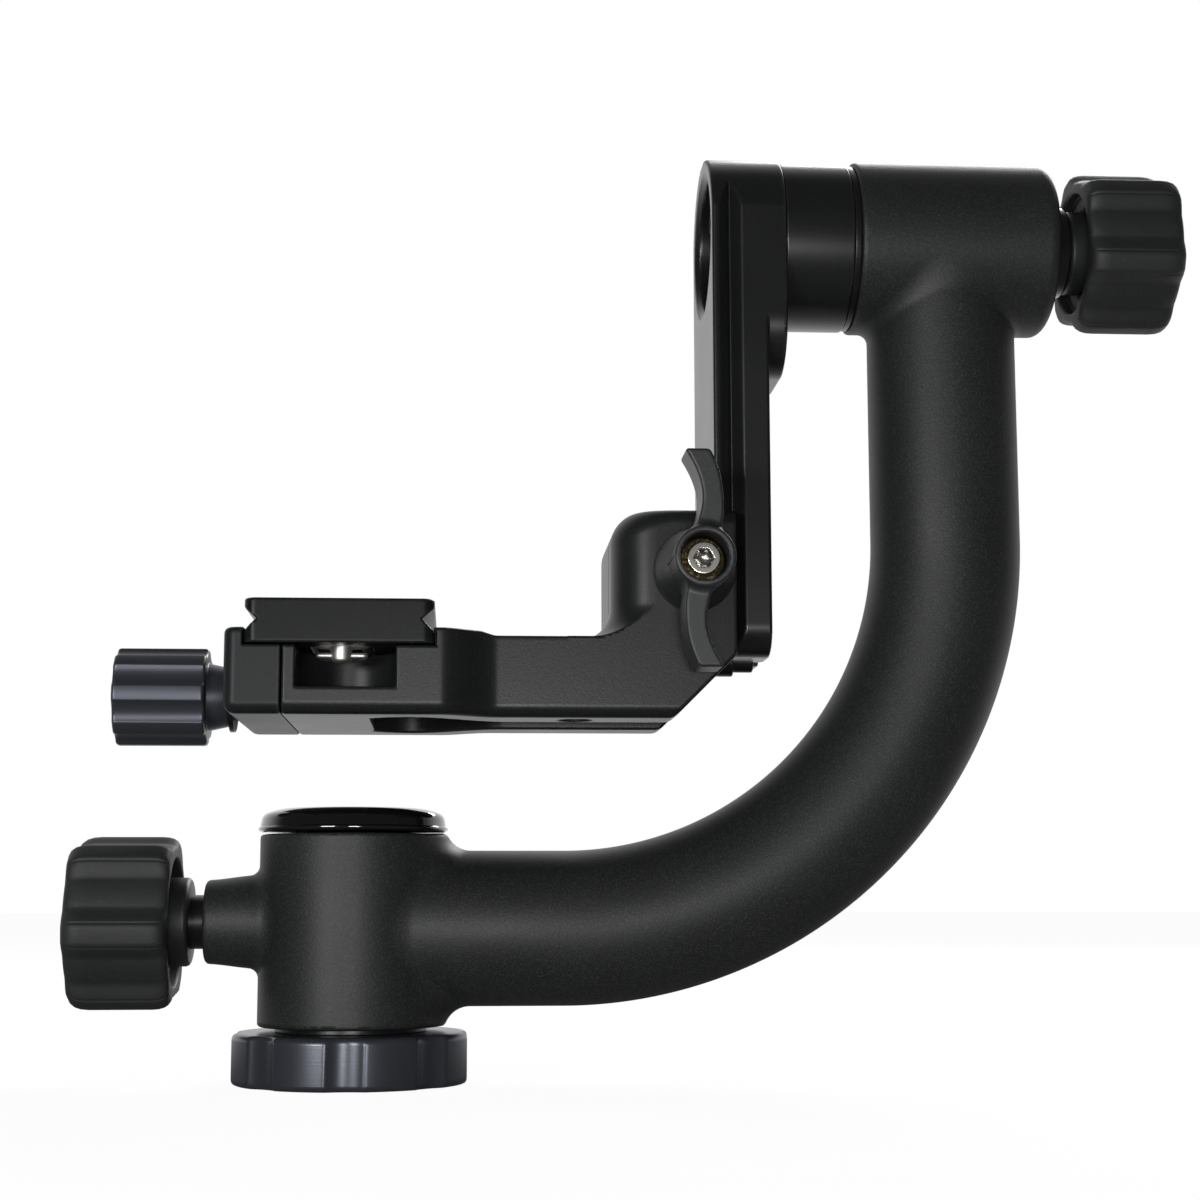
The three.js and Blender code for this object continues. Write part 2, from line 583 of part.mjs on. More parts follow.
function axleScrewSolid() {
  const under = flangeLeft - seat;
  const profile = [
    [0, under - axleScrew.headHeight],
    [axleScrew.headRadius, under - axleScrew.headHeight],
    [axleScrew.headRadius, under],
    [axleScrew.radius, under],
    [axleScrew.radius, under + axleScrew.length],
    [0, under + axleScrew.length],
  ];
  return turnX(profile, sides.tinyCount);
}
axleScrewPlaces().forEach(([y, z], i) => {
  piece(tiltAxis, `axle_screw_${i + 1}`, axleScrewSolid().translate(0, y, z), blackSteel);
});

// Collar and seal ring between the swing arm and the tilt housing
const sealLeft = tiltHousingLeft - seat - sealRing.length;
function collarSolid() {
  const [left, right] = [padRight + seat, sealLeft - seat];
  const inner = axle.radius + gap;
  const profile = [
    [inner, left],
    [collar.radius - collar.edge, left],
    [collar.radius, left + collar.edge],
    [collar.radius, right - collar.edge],
    [collar.radius - collar.edge, right],
    [inner, right],
    [inner, left],
  ];
  return turnX(profile, sides.wideCount);
}
const sealProfile = sleeve(axle.radius + gap, sealRing.radius, sealLeft, sealLeft + sealRing.length);
piece(tiltAxis, "tilt_collar", collarSolid(), satinBlack);
piece(tiltAxis, "tilt_seal_ring", turnX(sealProfile, sides.wideCount), blackSteel);

// Dovetail of the bed: the lip over the plate's flange, at a height, on the side of the fixed jaw
const plateBottom = bed.floor + gap;
const flangeTop = plateBottom + plate.flange;
const lipSlope = plate.vDepth / plate.notch;
const bedWall = plate.half + gap;
const lipAt = (z) => plate.half + gap * Math.hypot(1, lipSlope) - (z - flangeTop) * lipSlope;
function dovetailCutter(side, from, top) {
  const lipFoot = flangeTop + (lipAt(flangeTop) - bedWall) / lipSlope;
  const points = [
    [from, bed.floor],
    [plate.x + side * bedWall, bed.floor],
    [plate.x + side * bedWall, lipFoot],
    [plate.x + side * lipAt(top + gap), top + gap],
    [plate.x + side * lipAt(top + gap), top + overrun],
    [from, top + overrun],
  ];
  return prismXZ(outline(points), -bed.half - overrun, bed.half + overrun);
}

// Places along X that follow the swing arm, which the block clamps
const waistRight = swing.left - gap;
const blockLeft = swing.left - block.depth;
const armJawRight = swing.left + armJaw.lap;
const chamferStart = swing.left - block.chamferRun;
const wingX = swing.left - wing.inset;
const dowelX = blockLeft + dowel.inset;

// The block's column: its outer left corner and top left edge are rounded
function blockColumn(seam, side, foot) {
  const [face, outer] = [side * (swing.half + gap), side * waist.half];
  const slope = groove.width / 2 / groove.depth;
  const toeFoot = swing.left + groove.inset + gap * Math.hypot(1, slope);
  const inner = side * (swing.half - armJaw.bite);
  const corner = { x: blockLeft + block.corner, y: side * (waist.half - block.corner) };
  const plan = new THREE.Shape();
  plan.moveTo(waistRight, seam);
  plan.lineTo(waistRight, face);
  plan.lineTo(toeFoot - slope * gap, face);
  plan.lineTo(toeFoot + slope * armJaw.bite, inner);
  plan.lineTo(armJawRight, inner);
  plan.lineTo(armJawRight, outer);
  plan.absarc(corner.x, corner.y, block.corner, (side * Math.PI) / 2, Math.PI, side < 0);
  plan.lineTo(blockLeft, seam);
  const column = new THREE.Shape();
  column.moveTo(armJawRight, foot);
  column.lineTo(armJawRight, block.top);
  column.absarc(blockLeft + block.round, block.top - block.round, block.round, Math.PI / 2, Math.PI);
  column.lineTo(blockLeft, foot);
  const across = prismXZ(column, -waist.half - overrun, waist.half + overrun);
  return prismXY(plan, foot, block.top).intersect(across);
}

// Cuts that the front half and the rear jaw of the block share
const studAxis = (solid) => solid.translate(wingX, 0, wing.z);
const studHole = () =>
  studAxis(turnY(rod(wingStud.radius + gap, -waist.half - overrun, wingStud.reach + gap), sides.smallCount));
const dowelEnds = [block.seam - dowel.hold, block.seam + dowel.reach];
const dowelBore = rod(dowel.radius + gap, dowelEnds[0] - seat, dowelEnds[1] + seat);
const dowelHole = () => turnY(dowelBore, sides.smallCount).translate(dowelX, 0, dowel.z);

// Cradle: bed, waist and the block's front half are one piece
function cradlePlan() {
  const mid = (bed.curveStart + bed.curveEnd) / 2;
  const left = bed.left - overrun;
  const shape = new THREE.Shape();
  shape.moveTo(left, -bed.half);
  shape.lineTo(bed.curveStart, -bed.half);
  shape.bezierCurveTo(mid, -bed.half, mid, -waist.half, bed.curveEnd, -waist.half);
  shape.lineTo(waistRight + overrun, -waist.half);
  shape.lineTo(waistRight + overrun, waist.half);
  shape.lineTo(bed.curveEnd, waist.half);
  shape.bezierCurveTo(mid, waist.half, mid, bed.half, bed.curveStart, bed.half);
  shape.lineTo(left, bed.half);
  return shape;
}
function underPocketCutter() {
  const { left, leftHalf, wideX, half, neckX, neckHalf, depth } = underPocket;
  const mid = (wideX + neckX) / 2;
  const right = waistRight + overrun;
  const shape = new THREE.Shape();
  shape.moveTo(left, -leftHalf);
  shape.quadraticCurveTo((left + wideX) / 2, -half, wideX, -half);
  shape.bezierCurveTo(mid, -half, mid, -neckHalf, neckX, -neckHalf);
  shape.lineTo(right, -neckHalf);
  shape.lineTo(right, neckHalf);
  shape.lineTo(neckX, neckHalf);
  shape.bezierCurveTo(mid, neckHalf, mid, half, wideX, half);
  shape.quadraticCurveTo((left + wideX) / 2, half, left, leftHalf);
  const deep = bed.bottom + depth + channel.depth;
  return join(
    prismXY(shape, bed.bottom - overrun, bed.bottom + depth),
    boxBetween([channel.left, -channel.half, bed.bottom - overrun], [right, channel.half, deep]),
  );
}
function frontPocketCutter() {
  const { x, y, radius, floor } = frontPocket;
  const shape = new THREE.Shape();
  shape.moveTo(x - radius, -bed.half - overrun);
  shape.lineTo(x + radius, -bed.half - overrun);
  shape.absarc(x, y, radius, 0, Math.PI);
  return prismXY(shape, floor, bed.top + overrun);
}
function chamferCutter() {
  const run = armJawRight + overrun - chamferStart;
  const points = [
    [chamferStart - overrun, bed.bottom - overrun],
    [chamferStart + run, bed.bottom + run],
    [chamferStart + run, bed.bottom - overrun],
  ];
  return prismXZ(outline(points), -bed.half - overrun, bed.half + overrun);
}
// Fillet at the foot of the block's left side, carried round the rounded corner to the front face
function blockFillet() {
  const foot = bed.bottom + overrun;
  const cornerX = blockLeft + block.corner;
  const cornerY = block.corner - waist.half;
  const cove = shoulder(block.corner + block.fillet, waist.top + block.fillet, block.fillet, 180, 270);
  const profile = [...cove, [block.corner + block.fillet, foot]];
  const atCorner = ([radius, z]) => [cornerX - radius, z];
  const side = outline([[cornerX, foot], [cornerX, waist.top + block.fillet], ...profile.map(atCorner)]);
  const round = turnZ([[0, foot], [0, waist.top + block.fillet], ...profile, [0, foot]], sides.wideCount);
  const front = boxBetween(
    [cornerX - block.corner - block.fillet, -waist.half, foot],
    [cornerX, cornerY, waist.top + block.fillet],
  );
  return join(prismXZ(side, cornerY, block.seam), round.translate(cornerX, cornerY, 0).intersect(front));
}
const guidePinHole = (y) => {
  const [from, to] = [bed.left - gap - guidePin.hold - seat, bed.left + guidePin.reach + gap];
  return turnX(rod(guidePin.radius + gap, from, to), sides.tinyCount).translate(0, y, guidePin.z);
};
const clampHole = (from, to) =>
  turnX(rod(clampScrew.radius + gap, from, to), sides.smallCount).translate(0, 0, clampHeight);
function cradleSolid() {
  const roof = [waistRight + 2 * overrun, bed.half + overrun, block.top + overrun];
  const body = cut(
    prismXY(cradlePlan(), bed.bottom, bed.top + 2 * bed.edge, bed.edge, 3),
    boxBetween([bed.left - 3 * overrun, -roof[1], bed.bottom - overrun], [bed.left, roof[1], roof[2]]),
    boxBetween([bed.left - overrun, -roof[1], bed.top], roof),
    boxBetween([bed.curveEnd - bed.edge, -roof[1], waist.top], roof),
    boxBetween([waistRight, -roof[1], bed.bottom - overrun], roof),
  );
  const { x, y, well, wellRadius, radius, length } = blockScrew;
  const shankEnd = bed.bottom + well + length + gap;
  return cut(
    join(body, blockColumn(block.seam, -1, bed.bottom + overrun), blockFillet()),
    dovetailCutter(1, bed.left - overrun, bed.top),
    frontPocketCutter(),
    underPocketCutter(),
    chamferCutter(),
    clampHole(bed.left - overrun, bed.left + clampScrew.reach + gap),
    guidePinHole(-guidePin.y),
    guidePinHole(guidePin.y),
    studHole(),
    dowelHole(),
    turnZ(rod(wellRadius, bed.bottom - overrun, bed.bottom + well), sides.smallCount).translate(x, y, 0),
    turnZ(rod(radius + gap, bed.bottom, shankEnd), sides.tinyCount).translate(x, y, 0),
  );
}
piece(head, "cradle", cradleSolid(), castFinish);

function rearJawSolid() {
  const column = blockColumn(block.seam + rearJaw.seam, 1, waist.top + rearJaw.lift);
  return cut(column, studHole(), dowelHole());
}
piece(head, "rear_clamp_jaw", rearJawSolid(), castFinish);
const dowelRod = turnY(rod(dowel.radius, ...dowelEnds), sides.smallCount).translate(dowelX, 0, dowel.z);
piece(head, "rear_jaw_dowel", dowelRod, stainless);

function bedScrewSolid() {
  const { x, y, well, headRadius, headHeight, socketRadius, socketDepth, radius, length } = blockScrew;
  const under = bed.bottom + well - seat;
  const profile = [
    [0, under - headHeight],
    [headRadius, under - headHeight],
    [headRadius, under],
    [radius, under],
    [radius, under + length],
    [0, under + length],
  ];
  const head = under - headHeight;
  const socket = turnZ(rod(socketRadius, head - overrun, head + socketDepth), sides.hexCount);
  return cut(turnZ(profile, sides.smallCount), socket).translate(x, y, 0);
}
piece(head, "underside_screw", bedScrewSolid(), stainless);

// Wing knob: a hub with two bowed blades, on a stud that the rear jaw runs on
const wingAxis = groupAt(wingX, 0, wing.z);
const hubFoot = -waist.half - wing.stand;
const recessEnd = wing.recess - wing.reach;
const studFront = recessEnd + wingStud.wall + seat;
function bladeSolid(side) {
  const curve = new THREE.QuadraticBezierCurve(
    new THREE.Vector2(0, 0),
    new THREE.Vector2(side * blade.lead, side * blade.span * blade.leadShare),
    new THREE.Vector2(side * blade.tip, side * blade.span),
  );
  const shares = Array.from({ length: along.curveCount + 1 }, (_, i) => i / along.curveCount);
  const edge = (offset) =>
    shares.map((share) => {
      const [point, heading] = [curve.getPoint(share), curve.getTangent(share)];
      return [point.x + offset * heading.y, point.y - offset * heading.x];
    });
  const points = [...edge(blade.thickness / 2), ...edge(-blade.thickness / 2).reverse()];
  const front = blade.inset - wing.reach;
  return prismXZ(outline(points), front, front + blade.deep);
}
function wingKnob() {
  const hub = turnY(
    [
      [0, -wing.reach],
      [wing.topRadius, -wing.reach],
      [wing.topRadius, blade.deep - wing.reach],
      [wing.footRadius, hubFoot - blade.inset],
      [wing.footRadius, hubFoot],
      [0, hubFoot],
    ],
    sides.midCount,
  );
  return cut(
    join(hub, bladeSolid(1), bladeSolid(-1)),
    turnY(rod(wing.recessRadius, -wing.reach - overrun, recessEnd), sides.midCount),
    turnY(rod(wingStud.tapRadius, recessEnd - overrun, hubFoot), sides.smallCount),
    turnY(rod(wingStud.radius + gap, studFront - seat, hubFoot + overrun), sides.smallCount),
  );
}
function wingStudSolid() {
  const shaft = turnY(rod(wingStud.radius, studFront, wingStud.reach), sides.smallCount);
  const tapping = rod(wingStud.tapRadius, studFront - overrun, studFront + wingStud.tapDepth);
  return cut(shaft, turnY(tapping, sides.smallCount));
}
const insertBack = recessEnd - seat;
const insertFront = insertBack - wingInsert.thickness;
function wingScrewSolid() {
  const under = insertFront - seat;
  const front = under - wingScrew.headHeight;
  const tail = studFront + wingScrew.tail;
  const profile = [
    [0, front],
    [wingScrew.headRadius, front],
    [wingScrew.headRadius, under],
    [wingScrew.radius, under],
    [wingScrew.radius, tail],
    [0, tail],
  ];
  const socket = turnY(rod(wingScrew.hexRadius, front - overrun, front + wingScrew.hexDepth), sides.hexCount);
  return cut(turnY(profile, sides.smallCount), socket);
}
const insertProfile = sleeve(wingStud.tapRadius, wingInsert.radius, insertFront, insertBack);
piece(wingAxis, "wing_knob", wingKnob(), moulded);
piece(wingAxis, "wing_clamp_stud", wingStudSolid(), blackSteel);
piece(wingAxis, "wing_knob_insert", turnY(insertProfile, sides.smallCount), brass);
piece(wingAxis, "wing_knob_screw", wingScrewSolid(), stainless);

// Moving clamp jaw: slides on two pins, and its knob's screw draws it in
const jawRight = bed.left - gap;
function clampJawSolid() {
  const plan = roundedRectangle(clampJaw.left, jawRight + overrun, -bed.half, bed.half, clampJaw.corner);
  return cut(
    prismXY(plan, bed.bottom, clampJaw.top, clampJaw.edge, 3),
    boxBetween(
      [jawRight, -bed.half - overrun, bed.bottom - overrun],
      [0, bed.half + overrun, bed.top + overrun],
    ),
    dovetailCutter(-1, bed.left + overrun, clampJaw.top),
    clampHole(clampJaw.left - overrun, bed.left),
    guidePinHole(-guidePin.y),
    guidePinHole(guidePin.y),
  );
}
piece(head, "moving_clamp_jaw", clampJawSolid(), satinBlack);
[-1, 1].forEach((side) => {
  const pin = rod(guidePin.radius, bed.left - gap - guidePin.hold, bed.left + guidePin.reach);
  const name = side < 0 ? "front_jaw_guide_pin" : "rear_jaw_guide_pin";
  piece(head, name, turnX(pin, sides.tinyCount).translate(0, side * guidePin.y, guidePin.z), stainless);
});

const clampAxis = groupAt(0, 0, clampHeight);
const clampWasherLeft = clampJaw.left - seat - clampWasher.thickness;
const neckRight = clampWasherLeft - seat;
const knobRight = neckRight - clampNeck.length;
const knobLeft = knobRight - clampKnob.length;
const clampScrewLeft = knobRight - clampScrew.hold;
function clampKnobSolid() {
  const { radius, edge } = clampKnob;
  const rim = cut(
    turnX(
      [[0, knobLeft], [radius - edge, knobLeft], [radius, knobLeft + edge], [radius, knobRight - edge],
        [radius - edge, knobRight], [0, knobRight]],
      sides.wideCount,
    ),
    ...fluteCutters(turnX, clampKnob, knobLeft, knobRight, Math.PI / 8),
  );
  const neck = turnX(
    [[0, knobRight - overrun], [clampNeck.radius, knobRight - overrun], [clampNeck.radius, knobRight],
      [clampNeck.tipRadius, neckRight], [0, neckRight]],
    sides.midCount,
  );
  const hole = rod(clampScrew.radius + gap, clampScrewLeft - seat, neckRight + overrun);
  return cut(join(rim, neck), turnX(hole, sides.smallCount));
}
const clampScrewRod = rod(clampScrew.radius, clampScrewLeft, bed.left + clampScrew.reach);
const clampWasherProfile = sleeve(
  clampScrew.radius + gap, clampWasher.radius, clampWasherLeft, clampWasherLeft + clampWasher.thickness);
piece(clampAxis, "clamp_knob", clampKnobSolid(), blueBlack);
piece(clampAxis, "clamp_screw", turnX(clampScrewRod, sides.smallCount), blackSteel);
piece(clampAxis, "clamp_knob_washer", turnX(clampWasherProfile, sides.smallCount), blackSteel);

// Camera plate: dovetail edges, a slot for the captive screw and a recess for its flange
const plateTop = plateBottom + plate.thickness;
const screwSlotEnd = plate.front + plate.length - plateForm.slotMargin;
function cameraPlate() {
  const { x, half, front, length, flange, notch, vDepth } = plate;
  const edgeHeights = [plateBottom, plateBottom + flange, plateBottom + flange + notch,
    plateBottom + flange + 2 * notch, plateTop];
  const edgeHalves = [half, half, half - vDepth, half, half];
  const right = edgeHeights.map((z, i) => [x + edgeHalves[i], z]);
  const left = edgeHeights.map((z, i) => [x - edgeHalves[i], z]).reverse();
  const plan = roundedRectangle(x - half, x + half, front, front + length, plateForm.corner);
  const slot = (slotHalf) =>
    roundedRectangle(x - slotHalf, x + slotHalf, cameraScrew.y - slotHalf, screwSlotEnd + slotHalf, slotHalf);
  return cut(
    prismXZ(outline([...right, ...left]), front, front + length)
      .intersect(prismXY(plan, plateBottom, plateTop, plateForm.edge, 1)),
    prismXY(slot(plateForm.slotHalf), plateBottom - overrun, plateTop + overrun),
    prismXY(slot(plateForm.recessHalf), plateBottom - overrun, plateBottom + plateForm.recessDepth),
  );
}
piece(head, "camera_plate", cameraPlate(), satinBlack);

const screwAxis = groupAt(plate.x, cameraScrew.y, 0);
const eyeHeight = plateBottom - ring.drop;
function cameraScrewSolid() {
  const { radius, flangeRadius, flange, bossRadius, drop } = cameraScrew;
  const flangeUpper = plateBottom + plateForm.recessDepth - seat;
  const profile = [
    [0, plateBottom - drop],
    [bossRadius, plateBottom - drop],
    [bossRadius, flangeUpper - flange],
    [flangeRadius, flangeUpper - flange],
    [flangeRadius, flangeUpper],
    [radius, flangeUpper],
    [radius, plateTop - cameraScrew.sunk],
    [0, plateTop - cameraScrew.sunk],
  ];
  const eye = turnX(rod(cameraScrew.eye, -bossRadius - overrun, bossRadius + overrun), sides.tinyCount);
  return cut(turnZ(profile, sides.smallCount), eye.translate(0, 0, eyeHeight));
}
piece(screwAxis, "camera_screw", cameraScrewSolid(), stainless);

function screwRing() {
  const { wire, half, reach } = ring;
  const steps = sides.smallCount / 2;
  const arc = Array.from({ length: steps + 1 }, (_, i) => {
    const angle = (Math.PI * i) / steps;
    const [x, y] = [half * Math.cos(angle), reach * Math.sin(angle)];
    return { x, y, turn: Math.atan2(reach * Math.cos(angle), -half * Math.sin(angle)) };
  });
  const pivot = turnX(rod(wire, -half - wire / 2, half + wire / 2), sides.wireCount);
  return join(bentBar(arc, wire, sides.wireCount), pivot).translate(0, 0, eyeHeight);
}
piece(screwAxis, "camera_screw_ring", screwRing(), stainless);

export default head;
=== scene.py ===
"""Gimbal tripod head: a cast bow pans on a scalloped disc, and a swing arm with a sliding cradle tilts on it.

Sizes are in millimetres, as on the CAD model, and each mesh is written in metres.
"""

import bpy
import numpy as np
from mathutils import Matrix


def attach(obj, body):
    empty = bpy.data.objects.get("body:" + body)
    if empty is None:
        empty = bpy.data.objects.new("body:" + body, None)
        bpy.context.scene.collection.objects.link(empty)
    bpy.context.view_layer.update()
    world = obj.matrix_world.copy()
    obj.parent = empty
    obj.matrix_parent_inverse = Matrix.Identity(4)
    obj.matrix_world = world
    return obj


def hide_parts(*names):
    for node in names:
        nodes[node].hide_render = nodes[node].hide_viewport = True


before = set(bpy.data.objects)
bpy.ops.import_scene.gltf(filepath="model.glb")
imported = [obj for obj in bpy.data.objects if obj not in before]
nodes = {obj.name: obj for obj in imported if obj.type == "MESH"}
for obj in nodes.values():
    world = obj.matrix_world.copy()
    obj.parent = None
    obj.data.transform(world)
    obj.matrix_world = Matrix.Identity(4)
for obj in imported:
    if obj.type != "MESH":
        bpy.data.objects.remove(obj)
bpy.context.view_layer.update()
scene = bpy.context.scene

# The room
# The head was photographed on a white table that runs out of the frame, under a soft light near the camera.
# Here it stands on a pale floor before a pale backdrop. The camera's side of the room is dim, as it was.

ROOM_LIGHT = 0.17
ROOM_DIM_SIDE = 0.06
ROOM_RISE_Y = (0.1, 0.7)
FLOOR_RISE_Y = (0.0, 0.3)
FLOOR_HALF = 6.0
FLOOR_COLOR = (0.9, 0.9, 0.9, 1)
FLOOR_GLOW_SHARE = 0.9
FLOOR_GLOW = 1.06
WHITE = (1, 1, 1, 1)


def wire(tree, kind, inputs=None, **settings):
    """A node of `kind`: each input is a value or the socket that feeds it, each setting a property of it."""
    node = tree.nodes.new(kind)
    for name, value in settings.items():
        setattr(node, name, value)
    for name, value in (inputs or {}).items():
        if isinstance(value, bpy.types.NodeSocket):
            tree.links.new(value, node.inputs[name])
        else:
            node.inputs[name].default_value = value
    return node


def maths(tree, operation, a, b, **settings):
    """Output of a maths node on two values or sockets."""
    return wire(tree, "ShaderNodeMath", {0: a, 1: b}, operation=operation, **settings).outputs[0]


def seen_light(tree, place, rise):
    """Two masks. The first is 1 where a camera, mirror or glass ray looks at the room. The second is how
    bright it looks: white to the camera, and in a mirror from dim to white as the Y of `place` goes up."""
    path = wire(tree, "ShaderNodeLightPath").outputs
    shown = maths(tree, "MAXIMUM", path["Is Camera Ray"], path["Is Transmission Ray"])
    looked_at = maths(tree, "MAXIMUM", shown, path["Is Glossy Ray"])
    place_y = wire(tree, "ShaderNodeSeparateXYZ", {0: place}).outputs["Y"]
    start, end = rise
    behind = wire(tree, "ShaderNodeMapRange", {
        "Value": place_y, "From Min": start, "From Max": end, "To Min": ROOM_DIM_SIDE, "To Max": 1.0,
    }, interpolation_type="SMOOTHSTEP")
    return looked_at, maths(tree, "MAXIMUM", shown, behind.outputs[0])


floor_mesh = bpy.data.meshes.new("floor")
floor_corners = FLOOR_HALF * np.array([[-1, -1], [1, -1], [1, 1], [-1, 1]])
floor_mesh.from_pydata(np.column_stack([floor_corners, np.zeros(4)]).tolist(), [], [[0, 1, 2, 3]])
floor = bpy.data.objects.new("floor", floor_mesh)
scene.collection.objects.link(floor)
floor_paint = bpy.data.materials.new("floor_paint")
floor_paint.use_nodes = True
floor_tree = floor_paint.node_tree
floor_tree.nodes.clear()
floor_place = wire(floor_tree, "ShaderNodeTexCoord").outputs["Object"]
floor_looked_at, floor_bright = seen_light(floor_tree, floor_place, FLOOR_RISE_Y)
floor_share = maths(floor_tree, "MULTIPLY", floor_looked_at, FLOOR_GLOW_SHARE)
floor_strength = maths(floor_tree, "MULTIPLY", floor_bright, FLOOR_GLOW)
floor_glow = wire(floor_tree, "ShaderNodeEmission", {"Color": WHITE, "Strength": floor_strength})
floor_mix = wire(floor_tree, "ShaderNodeMixShader", {
    0: floor_share,
    1: wire(floor_tree, "ShaderNodeBsdfDiffuse", {"Color": FLOOR_COLOR}).outputs[0],
    2: floor_glow.outputs[0],
})
wire(floor_tree, "ShaderNodeOutputMaterial", {"Surface": floor_mix.outputs[0]})
floor_mesh.materials.append(floor_paint)

world = bpy.data.worlds.new("room")
world.use_nodes = True
room_tree = world.node_tree
room_tree.nodes.clear()
room_way = wire(room_tree, "ShaderNodeTexCoord").outputs["Generated"]
room_looked_at, room_bright = seen_light(room_tree, room_way, ROOM_RISE_Y)
room_mix = wire(room_tree, "ShaderNodeMixShader", {
    0: room_looked_at,
    1: wire(room_tree, "ShaderNodeBackground", {"Color": WHITE, "Strength": ROOM_LIGHT}).outputs[0],
    2: wire(room_tree, "ShaderNodeBackground", {"Color": WHITE, "Strength": room_bright}).outputs[0],
})
wire(room_tree, "ShaderNodeOutputWorld", {"Surface": room_mix.outputs[0]})
scene.world = world

# name, place, width and height in metres, watts
LAMPS = [
    ("key_lamp", (-0.42, -0.8, 0.1), 0.26, 0.14, 3.9),
    ("front_lamp", (0.03, -0.56, 0.03), 0.12, 0.04, 1.05),
    ("back_lamp", (0.5, 0.9, 0.8), 0.5, 0.5, 8.0),
]
LAMP_AIM = np.array([0.05, 0.0, 0.1])
for lamp_name, lamp_place, lamp_width, lamp_height, lamp_watts in LAMPS:
    lamp_data = bpy.data.lights.new(lamp_name, "AREA")
    lamp_data.shape = "RECTANGLE"
    lamp_data.size = lamp_width
    lamp_data.size_y = lamp_height
    lamp_data.energy = lamp_watts
    lamp = bpy.data.objects.new(lamp_name, lamp_data)
    scene.collection.objects.link(lamp)
    back = np.array(lamp_place) - LAMP_AIM
    back /= np.linalg.norm(back)
    side = np.cross([0, 0, 1], back)
    side /= np.linalg.norm(side)
    turn = np.column_stack([side, np.cross(back, side), back])
    lamp.matrix_world = Matrix.Translation(lamp_place) @ Matrix(turn.tolist()).to_4x4()

CAMERA_PLACE = (0.021494, -0.460538, 0.037659)
CAMERA_RIGHT = (0.99778964, -0.06643501, -0.00148987)
CAMERA_UP = (-0.00767289, -0.13745174, 0.99047875)
CAMERA_BACK = (-0.06600725, -0.988278, -0.13765767)
camera_data = bpy.data.cameras.new("camera")
camera_data.sensor_width = 36
camera_data.lens = 64.71
camera = bpy.data.objects.new("camera", camera_data)
scene.collection.objects.link(camera)
camera_turn = Matrix([CAMERA_RIGHT, CAMERA_UP, CAMERA_BACK]).transposed().to_4x4()
camera.matrix_world = Matrix.Translation(CAMERA_PLACE) @ camera_turn
scene.camera = camera
scene.view_settings.view_transform = "Standard"

# Base disc
# A turned aluminium disc, anodised blue-black, with eight scallops milled in its rim for the fingers.
# It screws down on the tripod's stud, and its edges are rounded and polished.

MM = 0.001
WELD_PLACES = 5
TINY = 1e-9
LEG_LIMIT_SHARE = 0.49


def skinned(name, points, quads, normals=None, rim=None):
    """Object of a surface in millimetres. Equal points are welded, each quad is split in two triangles, and
    all are turned to face out by the sign of the volume. A corner's normal is given, or the area-weighted
    mean of its faces. `rim` is 1 on an outer edge and 0 on a flat, for wear."""
    points = np.asarray(points, float).reshape(-1, 3)
    _, first, same = np.unique(np.round(points, WELD_PLACES), axis=0, return_index=True, return_inverse=True)
    same = same.reshape(-1)
    points = points[first]
    quads = same[np.asarray(quads).reshape(-1, 4)]
    faces = np.concatenate([quads[:, [0, 1, 2]], quads[:, [0, 2, 3]]])
    faces = faces[(faces[:, 0] != faces[:, 1]) & (faces[:, 1] != faces[:, 2]) & (faces[:, 2] != faces[:, 0])]
    a, b, c = (points[faces[:, i]] for i in range(3))
    across = np.cross(b - a, c - a)
    if np.einsum("ij,ij", a, across) < 0:
        faces = faces[:, ::-1]
        across = -across
    if normals is None:
        normals = np.stack([sum(np.bincount(faces[:, i], across[:, k], len(points)) for i in range(3))
                            for k in range(3)], 1)
    else:
        normals = normals[first]
    normals = normals / np.maximum(np.linalg.norm(normals, axis=1, keepdims=True), TINY * TINY)
    mesh = bpy.data.meshes.new(name)
    mesh.from_pydata((points * MM).tolist(), [], faces.tolist())
    mesh.shade_smooth()
    mesh.normals_split_custom_set_from_vertices(normals.tolist())
    if rim is not None:
        edge = mesh.attributes.new("rim", "FLOAT", "POINT")
        edge.data.foreach_set("value", np.asarray(rim, np.float32).reshape(-1)[first])
    piece = bpy.data.objects.new(name, mesh)
    scene.collection.objects.link(piece)
    return piece


def softened(corners, rounds, steps=6):
    """Outline whose corner P becomes the parabola (1-t)^2 A + 2t(1-t) P + t^2 B, where A and B lie `rounds`
    before and after it. Columns past the second, such as a share, go along. The last is an edge mask."""
    corners = np.asarray(corners, float)
    rounds = np.broadcast_to(np.asarray(rounds, float), len(corners))[:, None]
    legs = [np.roll(corners, 1, 0) - corners, np.roll(corners, -1, 0) - corners]
    lengths = [np.maximum(np.hypot(leg[:, 0], leg[:, 1])[:, None], TINY) for leg in legs]
    before, after = (corners + leg * np.minimum(rounds / length, LEG_LIMIT_SHARE)
                     for leg, length in zip(legs, lengths))
    t = np.linspace(0, 1, steps)[None, :, None]
    rows = ((1 - t) ** 2 * before[:, None] + 2 * t * (1 - t) * corners[:, None] + t**2 * after[:, None])
    worn = np.broadcast_to(4 * t * (1 - t) * (rounds > 0)[:, None], rows.shape[:2] + (1,))
    rows = np.concatenate([rows, worn], 2).reshape(-1, corners.shape[1] + 1)
    new = np.r_[True, np.hypot(*np.diff(rows[:, :2], axis=0).T) > 1000 * TINY]
    return rows[new]


def grid_quads(length, sides, closed):
    """Quads of a grid of points that closes round its second way and, if `closed`, along its first."""
    rows, cols = np.meshgrid(np.arange(length if closed else length - 1), np.arange(sides), indexing="ij")
    return np.stack([(rows + r) % length * sides + (cols + c) % sides
                     for r, c in ((0, 0), (0, 1), (1, 1), (1, 0))], -1)


